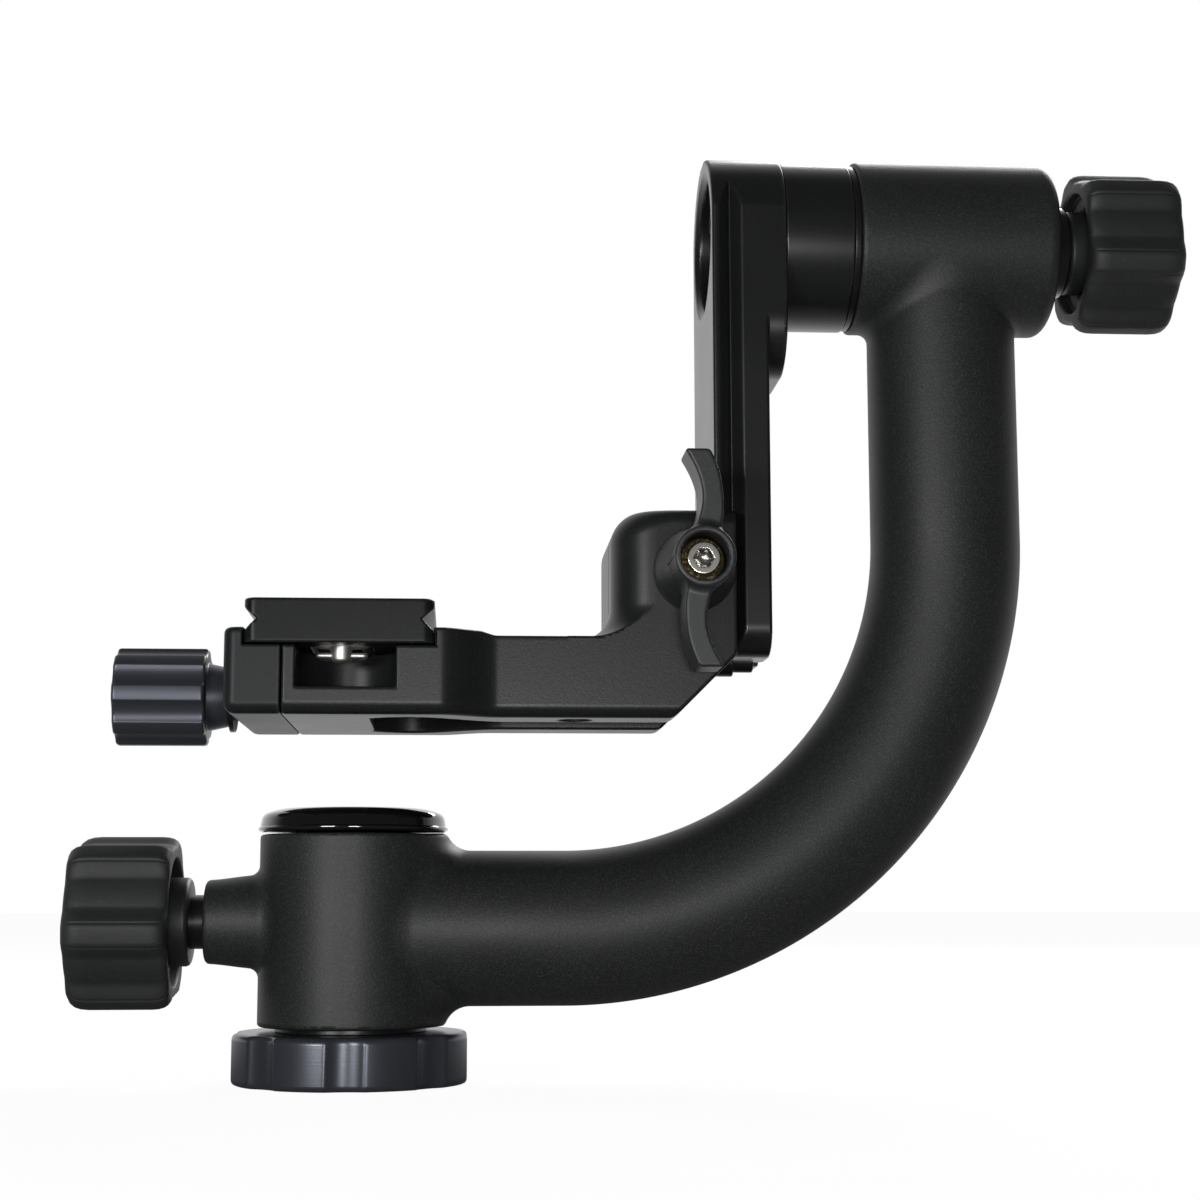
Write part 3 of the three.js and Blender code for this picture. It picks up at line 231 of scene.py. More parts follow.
def round_turned(name, corners, rounds, axis, centre=(0, 0, 0), sides=128, ripple=None):
    """Turned piece: each outline row (radius, along, share) goes round `axis` as radius + share *
    ripple(angle). The outline starts and ends on the axis, or closes on itself."""
    corners = np.asarray(corners, float)
    if corners.shape[1] == 2:
        corners = np.column_stack([corners, np.zeros(len(corners))])
    radius, along, share, worn = softened(corners, rounds).T
    angle = np.arange(sides) * 2 * np.pi / sides
    wave = np.zeros(sides) if ripple is None else ripple(angle)
    reach = radius[:, None] + share[:, None] * wave * (radius[:, None] > 0)
    level = np.repeat(along[:, None], sides, 1)
    surface = np.stack([level, reach * np.cos(angle), reach * np.sin(angle)], -1)
    surface = np.roll(surface, "xyz".index(axis), -1) + np.asarray(centre)
    quads = grid_quads(len(radius), sides, closed=radius[0] > 0)
    return skinned(name, surface, quads, rim=np.repeat(worn[:, None], sides, 1))


def scallops(radius, count, hollow_radius, depth, phase, edge):
    """Ripple of a rim with hollows: the ray at an angle meets a hollow's circle at c cos - sqrt(h^2 - c^2
    sin^2), and a soft minimum over `edge` rounds the two lips."""
    centre = radius + hollow_radius - depth

    def wave(angle):
        off = (angle - phase + np.pi / count) % (2 * np.pi / count) - np.pi / count
        under = hollow_radius**2 - (centre * np.sin(off)) ** 2
        dip = np.where(under > 0, centre * np.cos(off) - np.sqrt(np.maximum(under, 0)) - radius, edge)
        near = np.clip(edge - np.abs(dip), 0, None)
        return np.minimum(dip, 0) - near**2 / (4 * edge)

    return wave


def effect(name, inputs, outputs):
    """Empty shader node group with float sockets, or vector ones where the value is a triple."""
    group = bpy.data.node_groups.new(name, "ShaderNodeTree")
    for label, value in inputs.items():
        kind = "NodeSocketVector" if isinstance(value, tuple) else "NodeSocketFloat"
        group.interface.new_socket(name=label, in_out="INPUT", socket_type=kind).default_value = value
    for label in outputs:
        group.interface.new_socket(name=label, in_out="OUTPUT", socket_type="NodeSocketFloat")
    return group, group.nodes.new("NodeGroupInput").outputs, group.nodes.new("NodeGroupOutput").inputs


# Grain of a finish: fine lumps for the bump, scattered light flecks, and slow patches of tone
FLECK_SCALE_SHARE = 1.3
FLECK_CONTRAST = 14.0
PATCH_SCALE = 38.0
grain, grain_in, grain_out = effect("grain", {"Scale": 900.0, "Flecks": 0.66}, ["Height", "Fleck", "Tone"])
grain_at = wire(grain, "ShaderNodeTexCoord").outputs["Object"]
lumps = wire(grain, "ShaderNodeTexNoise", {"Vector": grain_at, "Scale": grain_in["Scale"], "Detail": 2.0})
fleck_scale = maths(grain, "MULTIPLY", grain_in["Scale"], FLECK_SCALE_SHARE)
specks = wire(grain, "ShaderNodeTexNoise", {"Vector": grain_at, "Scale": fleck_scale, "Detail": 0.0})
above = maths(grain, "SUBTRACT", specks.outputs[0], grain_in["Flecks"])
flecks_only = maths(grain, "MULTIPLY", above, FLECK_CONTRAST, use_clamp=True)
patches = wire(grain, "ShaderNodeTexNoise", {"Vector": grain_at, "Scale": PATCH_SCALE, "Detail": 3.0})
grain.links.new(lumps.outputs[0], grain_out["Height"])
grain.links.new(flecks_only, grain_out["Fleck"])
grain.links.new(patches.outputs[0], grain_out["Tone"])

# Wear: the outer edges, broken up by noise, where handling has rubbed the finish
RUB_SCALE = 170.0
RUB_FROM = 0.35
RUB_TO = 0.65
wear, wear_in, wear_out = effect("worn_edge", {"Amount": 0.5}, ["Mask"])
wear_at = wire(wear, "ShaderNodeTexCoord").outputs["Object"]
rubbed = wire(wear, "ShaderNodeTexNoise", {"Vector": wear_at, "Scale": RUB_SCALE, "Detail": 4.0})
ragged = wire(wear, "ShaderNodeMapRange", {
    "Value": rubbed.outputs[0], "From Min": RUB_FROM, "From Max": RUB_TO})
edge_mask = wire(wear, "ShaderNodeAttribute", attribute_name="rim").outputs["Fac"]
on_edge = maths(wear, "MULTIPLY", edge_mask, ragged.outputs[0])
worn_share = maths(wear, "MULTIPLY", on_edge, wear_in["Amount"], use_clamp=True)
wear.links.new(worn_share, wear_out["Mask"])

# Tool marks: hair-fine rings left by turning or brushing, level along the axis and uneven across it
marks, marks_in, marks_out = effect("tool_marks", {"Axis": (0.0, 0.0, 1.0), "Scale": 2500.0}, ["Height"])
marks_at = wire(marks, "ShaderNodeTexCoord").outputs["Object"]
marks_along = wire(marks, "ShaderNodeVectorMath", {0: marks_at, 1: marks_in["Axis"]},
                   operation="DOT_PRODUCT")
marks_place = maths(marks, "MULTIPLY", marks_along.outputs["Value"], marks_in["Scale"])
marks_lines = wire(marks, "ShaderNodeTexNoise", {"W": marks_place, "Scale": 1.0, "Detail": 2.0},
                   noise_dimensions="1D")
marks.links.new(marks_lines.outputs[0], marks_out["Height"])


TONE_SWING = 0.18
POLISH_SHARE = 0.75


def finish(name, color, light, roughness, grain_scale, depth, flecks=0.8, swing=0.1, worn=0.4,
           worn_color=None, marks_axis=None, marks_depth=0.0, **sockets):
    """Finish of one material: `color` turns to `light` on its flecks and to `worn_color` on rubbed edges.
    The roughness swings slowly about its mean. Grain, `depth` metres deep, and tool marks are the bump."""
    material = bpy.data.materials.new(name)
    material.use_nodes = True
    tree = material.node_tree
    shader = tree.nodes["Principled BSDF"]
    texture = wire(tree, "ShaderNodeGroup", {"Scale": grain_scale, "Flecks": flecks}, node_tree=grain)
    rubs = wire(tree, "ShaderNodeGroup", {"Amount": worn}, node_tree=wear)
    flecked = wire(tree, "ShaderNodeMix", {
        "Factor": texture.outputs["Fleck"], 6: (*color, 1), 7: (*light, 1)}, data_type="RGBA")
    toned = wire(tree, "ShaderNodeMapRange", {
        "Value": texture.outputs["Tone"], "To Min": 1 - TONE_SWING, "To Max": 1 + TONE_SWING})
    varied = wire(tree, "ShaderNodeVectorMath", {0: flecked.outputs[2], "Scale": toned.outputs[0]},
                  operation="SCALE")
    rubbed_color = wire(tree, "ShaderNodeMix", {
        "Factor": rubs.outputs["Mask"], 6: varied.outputs[0], 7: (*(worn_color or light), 1),
    }, data_type="RGBA")
    tree.links.new(rubbed_color.outputs[2], shader.inputs["Base Color"])
    gloss = wire(tree, "ShaderNodeMapRange", {
        "Value": texture.outputs["Tone"], "To Min": roughness - swing, "To Max": roughness + swing})
    polished = wire(tree, "ShaderNodeMix", {
        "Factor": rubs.outputs["Mask"], 2: gloss.outputs[0], 3: POLISH_SHARE * roughness})
    tree.links.new(polished.outputs[0], shader.inputs["Roughness"])
    bump = wire(tree, "ShaderNodeBump", {
        "Height": texture.outputs["Height"], "Distance": depth, "Strength": 1.0})
    if marks_axis:
        turning = wire(tree, "ShaderNodeGroup", {"Axis": marks_axis}, node_tree=marks)
        bump = wire(tree, "ShaderNodeBump", {
            "Height": turning.outputs["Height"], "Distance": marks_depth, "Normal": bump.outputs[0]})
    tree.links.new(bump.outputs[0], shader.inputs["Normal"])
    for label, value in sockets.items():
        shader.inputs[label.replace("_", " ")].default_value = value
    return material


def fit(piece, material, body, slot, *replaced):
    """Gives a new piece its material and body, and hides the CAD nodes that it stands for."""
    piece.data.materials.append(material)
    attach(piece, body)
    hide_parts(*replaced)


def recoat(material, *names):
    """Gives CAD nodes whose shape is right their material."""
    for node_name in names:
        mesh = nodes[node_name].data
        mesh.materials.clear()
        mesh.materials.append(material)


BLUE_ANODISED = dict(
    color=(0.051, 0.055, 0.067), light=(0.066, 0.069, 0.081), worn_color=(0.07, 0.073, 0.085),
    grain_scale=2600.0, depth=0.000004, worn=0.35, swing=0.05, marks_depth=0.000004, Metallic=0.6)
disc_blue = finish("disc_blue_anodised", roughness=0.3, marks_axis=(0, 0, 1), **BLUE_ANODISED)
DISC_RADIUS = 24.6
DISC_TOP = 10.6
DISC_FLAT = 20.5
INSERT_BORE = 7.9
INSERT_SHOULDER = 9.1
SPINDLE_HOLE = 4.8
disc_outline = [
    (INSERT_BORE, 0, 0), (DISC_FLAT, 0, 0), (DISC_RADIUS, 0, 1), (DISC_RADIUS, DISC_TOP, 1),
    (DISC_FLAT, DISC_TOP, 0), (SPINDLE_HOLE, DISC_TOP, 0), (SPINDLE_HOLE, INSERT_SHOULDER, 0),
    (INSERT_BORE, INSERT_SHOULDER, 0)]
disc_scallops = scallops(DISC_RADIUS, count=8, hollow_radius=7.6, depth=1.4, phase=-np.pi / 2, edge=0.35)
disc = round_turned("scalloped_disc", disc_outline, [0.3, 0, 1.3, 1.5, 0, 0.3, 0, 0], "z", sides=384,
                    ripple=disc_scallops)
fit(disc, disc_blue, "base", "blue_anodised", "base_disc")

# Stud insert and pan spindle
# A stainless insert in the disc takes the tripod's 3/8 inch stud, and a blackened steel spindle stands on it.
# A hard washer carries the housing, and shows as a bright line in the gap over the disc.

stainless = finish(
    "stainless_steel", color=(0.58, 0.56, 0.52), light=(0.66, 0.64, 0.6), roughness=0.24, grain_scale=1500.0,
    depth=0.000002, worn=0.3, marks_axis=(0, 1, 0), marks_depth=0.000003, Metallic=1.0)
black_steel = finish(
    "black_oxide_steel", color=(0.012, 0.012, 0.013), light=(0.03, 0.03, 0.03), roughness=0.3,
    grain_scale=1800.0, depth=0.000003, worn_color=(0.06, 0.06, 0.06), Metallic=0.5)
recoat(stainless, "tripod_stud_insert")
recoat(black_steel, "pan_spindle")


def tube_outline(inner, outer, start, end):
    """Outline of a plain ring or sleeve: its two radii, and its start and end along the axis."""
    return [(inner, start), (outer, start), (outer, end), (inner, end)]


washer = round_turned("pan_washer", tube_outline(inner=10.2, outer=15.8, start=10.7, end=11.6), 0.15, "z")
fit(washer, black_steel, "base", "black_steel", "pan_thrust_washer")

# Top cap and its screw
# A turned cap, enamelled gloss black, closes the housing: a thin lip under a low dome.
# A socket screw sunk in its middle pulls it down on the spindle.

gloss_black = finish(
    "gloss_black_enamel", color=(0.004, 0.004, 0.0045), light=(0.01, 0.01, 0.011), roughness=0.09,
    grain_scale=1200.0, depth=0.000002, swing=0.03, worn=0.2, Coat_Weight=0.5, Coat_Roughness=0.05)
CAP_BOTTOM = 50.6
CAP_SEAT = 51.7
CAP_TOP = 56.7
CAP_PIN_RADIUS = 9.9
LIP_RADIUS = 19.9
SINK_RADIUS = 5.2
SINK_FLOOR = 53.5
CAP_HOLE = 3.2
cap_outline = [
    (CAP_HOLE, CAP_BOTTOM), (CAP_PIN_RADIUS, CAP_BOTTOM), (CAP_PIN_RADIUS, CAP_SEAT), (19.1, CAP_SEAT),
    (LIP_RADIUS, 52.1), (LIP_RADIUS, 52.7), (19.5, 52.9), (19.1, 55.4), (15.8, CAP_TOP),
    (SINK_RADIUS, CAP_TOP), (SINK_RADIUS, SINK_FLOOR), (CAP_HOLE, SINK_FLOOR)]
cap_rounds = [0, 0, 0, 0.3, 0.3, 0.2, 0.05, 1.2, 1.7, 0.5, 0.2, 0]
cap = round_turned("gloss_cap", cap_outline, cap_rounds, "z", sides=160)
fit(cap, gloss_black, "base", "gloss_black", "top_cap")


def socket_screw(name, axis, centre, head_radius, head, shank_radius, length, socket_radius, socket):
    """Socket screw, one turned outline, whose head starts at `centre` and points against `axis` if `length`
    is positive. Its socket wall is at s / cos of the angle to the nearest flat, which is a hexagon."""
    sign = np.sign(length)
    outline = [(0, sign * socket), (socket_radius, sign * socket, 1), (socket_radius, 0, 1), (head_radius, 0),
               (head_radius, sign * head), (shank_radius, sign * head), (shank_radius, length), (0, length)]
    outline = [(*row, 0)[:3] for row in outline]
    hexagon = lambda angle: socket_radius * (1 / np.cos((angle + np.pi / 6) % (np.pi / 3) - np.pi / 6) - 1)
    rounds = [0, 0, 0.25, 0.35, 0.15, 0, 0.4, 0]
    return round_turned(name, outline, rounds, axis, centre, 96, hexagon)


cap_screw = socket_screw("cap_socket_screw", "z", (0, 0, 56.4), head_radius=4.6, head=2.8, shank_radius=2.9,
                         length=-18.7, socket_radius=1.7, socket=1.8)
fit(cap_screw, black_steel, "base", "black_steel", "cap_screw")

# Bow
# One aluminium casting: the pan housing with its knob boss, a bent tube, and the tilt housing at its top.
# Soft fillets run where the tube meets the housings, and a fine black powder coat covers all of it.


def meet(a, b, edge):
    """Distance to what two solids share, its edge rounded to radius r: min(-r, max(a, b)) +
    |max(r + (a, b), 0)|."""
    return np.minimum(-edge, np.maximum(a, b)) + np.hypot(np.maximum(edge + a, 0), np.maximum(edge + b, 0))


def blend(a, b, fillet):
    """Distance to two solids joined by a fillet: the same rounding, of the space that both leave free."""
    return -meet(-a, -b, fillet)


def step_up(x, start, end):
    """0 before start, 1 after end, and 3t^2 - 2t^3 between them."""
    t = np.clip((x - start) / (end - start), 0, 1)
    return t * t * (3 - 2 * t)


RIM_DEPTH = 0.8
RIM_GAIN = 2
RIM_LOSS = 0.2
SLIDE_COUNT = 5
SLIDE_REACH_SHARE = 0.05
SLIDE_LIMIT_SHARE = 0.5
NORMAL_REACH_SHARE = 0.2
LEAST_SLOPE = 0.05


def cast(name, distance, low, high, step):
    """Skin of the solid where distance(x, y, z) is under 0. Each cell of a grid that the skin crosses gets a
    point at the mean of its crossed edges, and each crossed grid edge a quad of its four cells. Each point
    then slides down the gradient on to the skin. The rim mask grows as less than RIM_DEPTH lies behind it."""
    low, high = np.asarray(low, float) - 2 * step, np.asarray(high, float) + 2 * step
    count = np.ceil((high - low) / step).astype(int) + 1
    ticks = [low[i] + step * np.arange(count[i]) for i in range(3)]
    field = distance(ticks[0][:, None, None], ticks[1][None, :, None], ticks[2][None, None, :])
    field = np.broadcast_to(field, tuple(count))
    inside = field < 0
    ends = np.array([[i, j, k] for i in (0, 1) for j in (0, 1) for k in (0, 1)])
    full = sum(inside[i:count[0] - 1 + i, j:count[1] - 1 + j, k:count[2] - 1 + k].astype(np.int8)
               for i, j, k in ends)
    cells = np.argwhere((full > 0) & (full < 8))
    total, crossed = np.zeros((len(cells), 3)), np.zeros(len(cells))
    for axis in range(3):
        for e in ends[ends[:, axis] == 0]:
            start = cells + e
            end = start + np.eye(3, dtype=int)[axis]
            f0, f1 = field[tuple(start.T)], field[tuple(end.T)]
            hit = (f0 < 0) != (f1 < 0)
            share = np.where(hit, f0 / np.where(hit, f0 - f1, 1), 0)
            place = start + share[:, None] * np.eye(3)[axis]
            total += place * hit[:, None]
            crossed += hit
    points = low + step * total / crossed[:, None]
    number = np.full(tuple(count - 1), -1)
    number[tuple(cells.T)] = np.arange(len(cells))
    quads = []
    for axis in range(3):
        one, two = np.eye(3, dtype=int)[(axis + 1) % 3], np.eye(3, dtype=int)[(axis + 2) % 3]
        start = np.argwhere(np.diff(inside, axis=axis))
        flip = inside[tuple(start.T)]
        ring = np.stack([number[tuple((start - shift).T)] for shift in (one + two, two, 0 * one, one)], 1)
        quads.append(np.where(flip[:, None], ring, ring[:, ::-1]))

    def slope(at, reach):
        shifts = reach * np.eye(3)
        return np.stack([distance(*(at + s).T) - distance(*(at - s).T) for s in shifts], 1) / (2 * reach)

    for _ in range(SLIDE_COUNT):
        tilt = slope(points, SLIDE_REACH_SHARE * step)
        steep = np.maximum((tilt**2).sum(1, keepdims=True), LEAST_SLOPE)
        move = distance(*points.T)[:, None] * tilt / steep
        points = points - np.clip(move, -SLIDE_LIMIT_SHARE * step, SLIDE_LIMIT_SHARE * step)
    normals = slope(points, NORMAL_REACH_SHARE * step)
    normals /= np.maximum(np.linalg.norm(normals, axis=1, keepdims=True), TINY)
    behind = distance(*(points - RIM_DEPTH * normals).T)
    rim = np.clip((1 + behind / RIM_DEPTH) * RIM_GAIN - RIM_LOSS, 0, 1)
    return skinned(name, points, np.concatenate(quads), normals, rim)


def rounded_rod(radial, along, radius, start, end, start_edge, end_edge):
    """Distance to a round bar with rounded ends, from the distance to its axis and the place along it."""
    return meet(meet(radial - radius, start - along, start_edge), along - end, end_edge)


PAN_KNOB_Z = 33.2
TILT_Z = 181.0
UPRIGHT_X = 128.0
BEND_RADIUS = 83.5
TUBE_Z = 31.8
TUBE_RADIUS = 16.2
TUBE_SUNK = 9
BOW_TOP = 199.9
PAN_BOTTOM = 11.7
PAN_HOUSING = dict(radius=19.4, start=PAN_BOTTOM, end=51.3, start_edge=0.7, end_edge=0.7)
TILT_HOUSING = dict(radius=18.9, start=107.7, end=151.5, start_edge=0.6, end_edge=2.8)
NEAR_PAN = 60
NEAR_TILT = 100
BOSS_MOUTH_X = -30.4
BOSS_ROOT_X = -19.4
BOSS_RADIUS = 8.7
BOSS_FLARE = 1.0
BOSS_SLANT = 0.99
BOSS_END_X = -2
BOSS_FILLET = 2
TILT_FILLET = 2.2
FOOT_FILLET = 1.4
FOOT_GROWTH = 4
FOOT_GROWTH_Z = (9, 16)
SPINDLE_BORE = 13.2
STUD_BORE = 6.2
AXLE_BORE = 13.1
AXLE_BORE_END = 148.5
AXLE_MOUTH = 8.6
AXLE_MOUTH_START = 130


def tube_distance(x, y, z):
    """Distance to the bent bar: a straight foot, a quarter circle and a straight upright in the XZ plane."""
    centre_x, centre_z = UPRIGHT_X - BEND_RADIUS, TUBE_Z + BEND_RADIUS
    foot = np.hypot(x - np.clip(x, TUBE_SUNK, centre_x), z - TUBE_Z)
    upright = np.hypot(x - UPRIGHT_X, z - np.clip(z, centre_z, TILT_Z - TUBE_SUNK))
    bend = np.abs(np.hypot(x - centre_x, z - centre_z) - BEND_RADIUS)
    bend = np.where((x >= centre_x) & (z <= centre_z), bend, np.inf)
    return np.hypot(np.minimum(np.minimum(foot, upright), bend), y) - TUBE_RADIUS


def bow_distance(x, y, z):
    """Housings and tube joined by fillets, less the bores for the bearings, the pad and the axle. The fillet
    at the tube's foot is tight at the front and grows towards the tube's top and bottom."""
    around_pan = np.hypot(x, y)
    around_knob = np.hypot(y, z - PAN_KNOB_Z)
    around_tilt = np.hypot(y, z - TILT_Z)
    pan = rounded_rod(around_pan, z, **PAN_HOUSING)
    tilt = rounded_rod(around_tilt, x, **TILT_HOUSING)
    flare = BOSS_FLARE * step_up(-x, -BOSS_MOUTH_X, -BOSS_ROOT_X)
    boss = meet((around_knob - BOSS_RADIUS - flare) * BOSS_SLANT, BOSS_MOUTH_X - x, 0.9)
    boss = meet(boss, x - BOSS_END_X, 0.5)
    foot_fillet = FOOT_FILLET + FOOT_GROWTH * step_up(np.abs(z - TUBE_Z), *FOOT_GROWTH_Z)
    solid = blend(blend(pan, boss, BOSS_FILLET), tube_distance(x, y, z), foot_fillet)
    solid = blend(solid, tilt, TILT_FILLET)
    pan_bores = np.minimum(around_pan - SPINDLE_BORE, np.maximum(around_knob - STUD_BORE, x))
    tilt_bores = np.minimum(np.maximum(around_tilt - AXLE_BORE, x - AXLE_BORE_END),
                            np.maximum(around_tilt - AXLE_MOUTH, AXLE_MOUTH_START - x))
    bores = np.minimum(pan_bores, tilt_bores)
    bores = np.where(np.abs(x) > NEAR_PAN, np.maximum(bores, NEAR_TILT - x), np.maximum(bores, z - NEAR_PAN))
    solid = meet(solid, -bores, 0.3)
    return np.maximum(solid, np.maximum(PAN_BOTTOM - z, z - BOW_TOP))


COATED = dict(swing=0.06, worn=0.3, worn_color=(0.03, 0.032, 0.033))
cast_coat = finish(
    "powder_coat_on_casting", color=(0.0108, 0.0114, 0.0118), light=(0.021, 0.022, 0.0228), roughness=0.5,
    grain_scale=2400.0, depth=0.00004, flecks=0.56, Specular_IOR_Level=0.36, **COATED)
bow = cast("cast_bow", bow_distance, low=(-31, -20, 11), high=(152, 20, 200), step=0.75)
fit(bow, cast_coat, "bow", "cast_coat", "bow_casting")

# Bearings and brake pad
# Four plain bronze sleeves run on the spindle and on the axle, and are shut in the housings.
# The pan lock's pad, of the same bronze, is pressed on the spindle by the lock stud.

bronze = finish("bearing_bronze", color=(0.25, 0.14, 0.06), light=(0.3, 0.18, 0.09), roughness=0.45,
                grain_scale=1500.0, depth=0.00001, Metallic=1.0)
recoat(bronze, "lower_pan_bearing", "upper_pan_bearing", "inner_tilt_bearing", "outer_tilt_bearing",
       "pan_brake_pad")

# Lock knobs of the pan and the tilt
# Each is a moulded core with a short neck, under a six-lobed grip of matt rubber, finely lined on each lobe.
# The pan knob runs on a blackened stud, and the tilt knob on the axle's own stud, against a gloss washer.

GRIP_RADIUS = 18.6
GRIP_LENGTH = 21.2
GRIP_SIDES = 960
LOBE_ANGLE = 60
LOBE_DEPTH = 2.4
LOBE_FLANK = (4.2, 20.1)
LINE_ANGLE = 8
LINE_WIDTH = 0.65
LINE_DEPTH = 0.16
CORE_RADIUS = 7.8
CORE_END = 16.3
COLLAR_RADIUS = 9.2
COLLAR_END = 2.3
GRIP_BORE = 8.1
GRIP_FLOOR = 16.6
GRIP_MOUTH = 2.4
GRIP_DISH = 0.6
moulded_black = finish(
    "moulded_black_nylon", color=(0.0135, 0.0145, 0.0155), light=(0.03, 0.031, 0.032), roughness=0.48,
    grain_scale=2200.0, depth=0.00002, flecks=0.72, worn=0.3)
grip_rubber = finish(
    "grip_rubber", color=(0.0125, 0.0132, 0.0136), light=(0.02, 0.021, 0.021), roughness=0.58,
    grain_scale=1700.0, depth=0.00002, flecks=0.7, worn=0.5, worn_color=(0.026, 0.027, 0.026),
    Specular_IOR_Level=0.4)


def lobes(turn):
    """Ripple of a grip: six lobes, each sunk by a smooth step on both sides of its crest, and two fine
    bell-shaped lines along the crest's sides."""

    def wave(angle):
        off = np.degrees(angle) - 180 - turn
        from_crest = np.abs((off + LOBE_ANGLE / 2) % LOBE_ANGLE - LOBE_ANGLE / 2)
        line = LINE_DEPTH * np.exp(-(((from_crest - LINE_ANGLE) / LINE_WIDTH) ** 2))
        return -LOBE_DEPTH * step_up(from_crest, *LOBE_FLANK) - line

    return wave


def lock_knob(prefix, body, centre_z, neck_end, neck, out, turn, core_node, grip_node):
    """Core and grip of one knob on an axis along X. `out` is 1 or -1, the way that the knob points."""
    cup = neck_end + out * neck
    along = lambda rows: [(r, cup + out * a, s) for r, a, s in rows]
    core_rows = along([
        (0, -neck, 0), (COLLAR_RADIUS - 0.6, -neck, 0), (COLLAR_RADIUS, -neck + 0.6, 0),
        (COLLAR_RADIUS, COLLAR_END, 0), (CORE_RADIUS, COLLAR_END, 0), (CORE_RADIUS, CORE_END, 0),
        (0, CORE_END, 0)])
    core = round_turned(prefix + "_neck_and_core", core_rows, [0, 0.3, 0.4, 0, 0, 0, 0], "x",
                        (0, 0, centre_z))
    fit(core, moulded_black, body, "moulded_black", core_node)
    grip_rows = along([
        (0, GRIP_LENGTH - GRIP_DISH, 0), (9.5, GRIP_LENGTH - GRIP_DISH, 0), (11, GRIP_LENGTH, 0),
        (GRIP_RADIUS, GRIP_LENGTH, 1), (GRIP_RADIUS, 0, 1), (13.4, 0, 0), (13.2, GRIP_MOUTH, 0),
        (GRIP_BORE, GRIP_MOUTH, 0), (GRIP_BORE, GRIP_FLOOR, 0), (0, GRIP_FLOOR, 0)])
    grip = round_turned(prefix + "_lobed_grip", grip_rows, [0, 0.6, 0.8, 4.6, 3.8, 0.8, 0.4, 0, 0, 0], "x",
                        (0, 0, centre_z), GRIP_SIDES, lobes(turn))
    fit(grip, grip_rubber, body, "grip_rubber", grip_node)


lock_knob("pan_knob", "pan_knob", PAN_KNOB_Z, neck_end=-33.4, neck=3.2, out=-1, turn=8,
          core_node="pan_knob_core", grip_node="pan_knob_grip")
lock_knob("tilt_knob", "tilt_knob", TILT_Z, neck_end=155.8, neck=2.4, out=1, turn=22,
          core_node="tilt_knob_core", grip_node="tilt_knob_grip")


def stepped_bar(start, steps):
    """Outline of a solid bar from `start` along its axis. Each step is its radius and where it ends."""
    corners = [(0, start)]
    for radius, end in steps:
        corners += [(radius, corners[-1][1]), (radius, end)]
    return corners + [(0, corners[-1][1])]


stud_outline = stepped_bar(start=-47.6, steps=[(5.6, -15.7)])
stud = round_turned("pan_stud", stud_outline, [0, 0.5, 0.5, 0], "x", (0, 0, PAN_KNOB_Z))
fit(stud, black_steel, "pan_knob", "black_steel", "pan_lock_stud")
tilt_washer = round_turned("tilt_washer", tube_outline(inner=5.3, outer=10, start=151.6, end=155.7), 0.6, "x",
                           (0, 0, TILT_Z))
fit(tilt_washer, gloss_black, "tilt_lock", "gloss_black", "tilt_thrust_washer")

# Swing arm and its stop pin
# A bar of extruded aluminium, anodised satin black, has a V groove down each edge for the cradle's jaws.
# Its top is rounded over a recess for the axle's flange, and a two-step pin lies in a notch under its foot.

ARM_LEFT = 75.1
ARM_RIGHT = 87.1
ARM_PAD_RIGHT = 91.2
ARM_HALF = 18.5
ARM_BOTTOM = 88
ARM_CORNER = 6.5
CROWN_RADIUS = 18.9
PAD_BOTTOM = 149.5
PAD_CORNER = 12
PAD_SUNK = 4
GROOVE_X = 79
GROOVE_ROOT = 15.9
GROOVE_SLOPE = 0.923
GROOVE_SLANT = 1.361
RECESS_RADIUS = 14.6
RECESS_DEPTH = 8
HUB_CHAMFER = 1.2
AXLE_HOLE = 8.3
PIN_Z = 88.6
PIN_NOTCH = 3.6


def arm_distance(x, y, z):
    """Bar and pad, each a side outline met with two faces, less the grooves, recess, bore and notch."""
    crown = np.hypot(y, np.maximum(z - TILT_Z, 0)) - CROWN_RADIUS
    outline = np.maximum(meet(np.abs(y) - ARM_HALF, ARM_BOTTOM - z, ARM_CORNER), crown)
    web = meet(meet(outline, ARM_LEFT - x, 0.45), x - ARM_RIGHT, 0.45)
    pad_outline = np.maximum(meet(np.abs(y) - ARM_HALF, PAD_BOTTOM - z, PAD_CORNER), crown)
    pad = meet(np.maximum(pad_outline, ARM_RIGHT - PAD_SUNK - x), x - ARM_PAD_RIGHT, 0.4)
    body = np.minimum(web, pad)
    groove = (np.abs(x - GROOVE_X) - GROOVE_SLOPE * (np.abs(y) - GROOVE_ROOT)) / GROOVE_SLANT
    body = meet(body, -groove, 0.25)
    hub = np.hypot(y, z - TILT_Z)
    chamfer = np.maximum(ARM_LEFT + HUB_CHAMFER - x, 0)
    recess = np.maximum(hub - RECESS_RADIUS - chamfer, x - ARM_LEFT - RECESS_DEPTH)
    pin = np.hypot(y, z - PIN_Z) - PIN_NOTCH
    return np.maximum(meet(body, -recess, 0.2), np.maximum(AXLE_HOLE - hub, -pin))


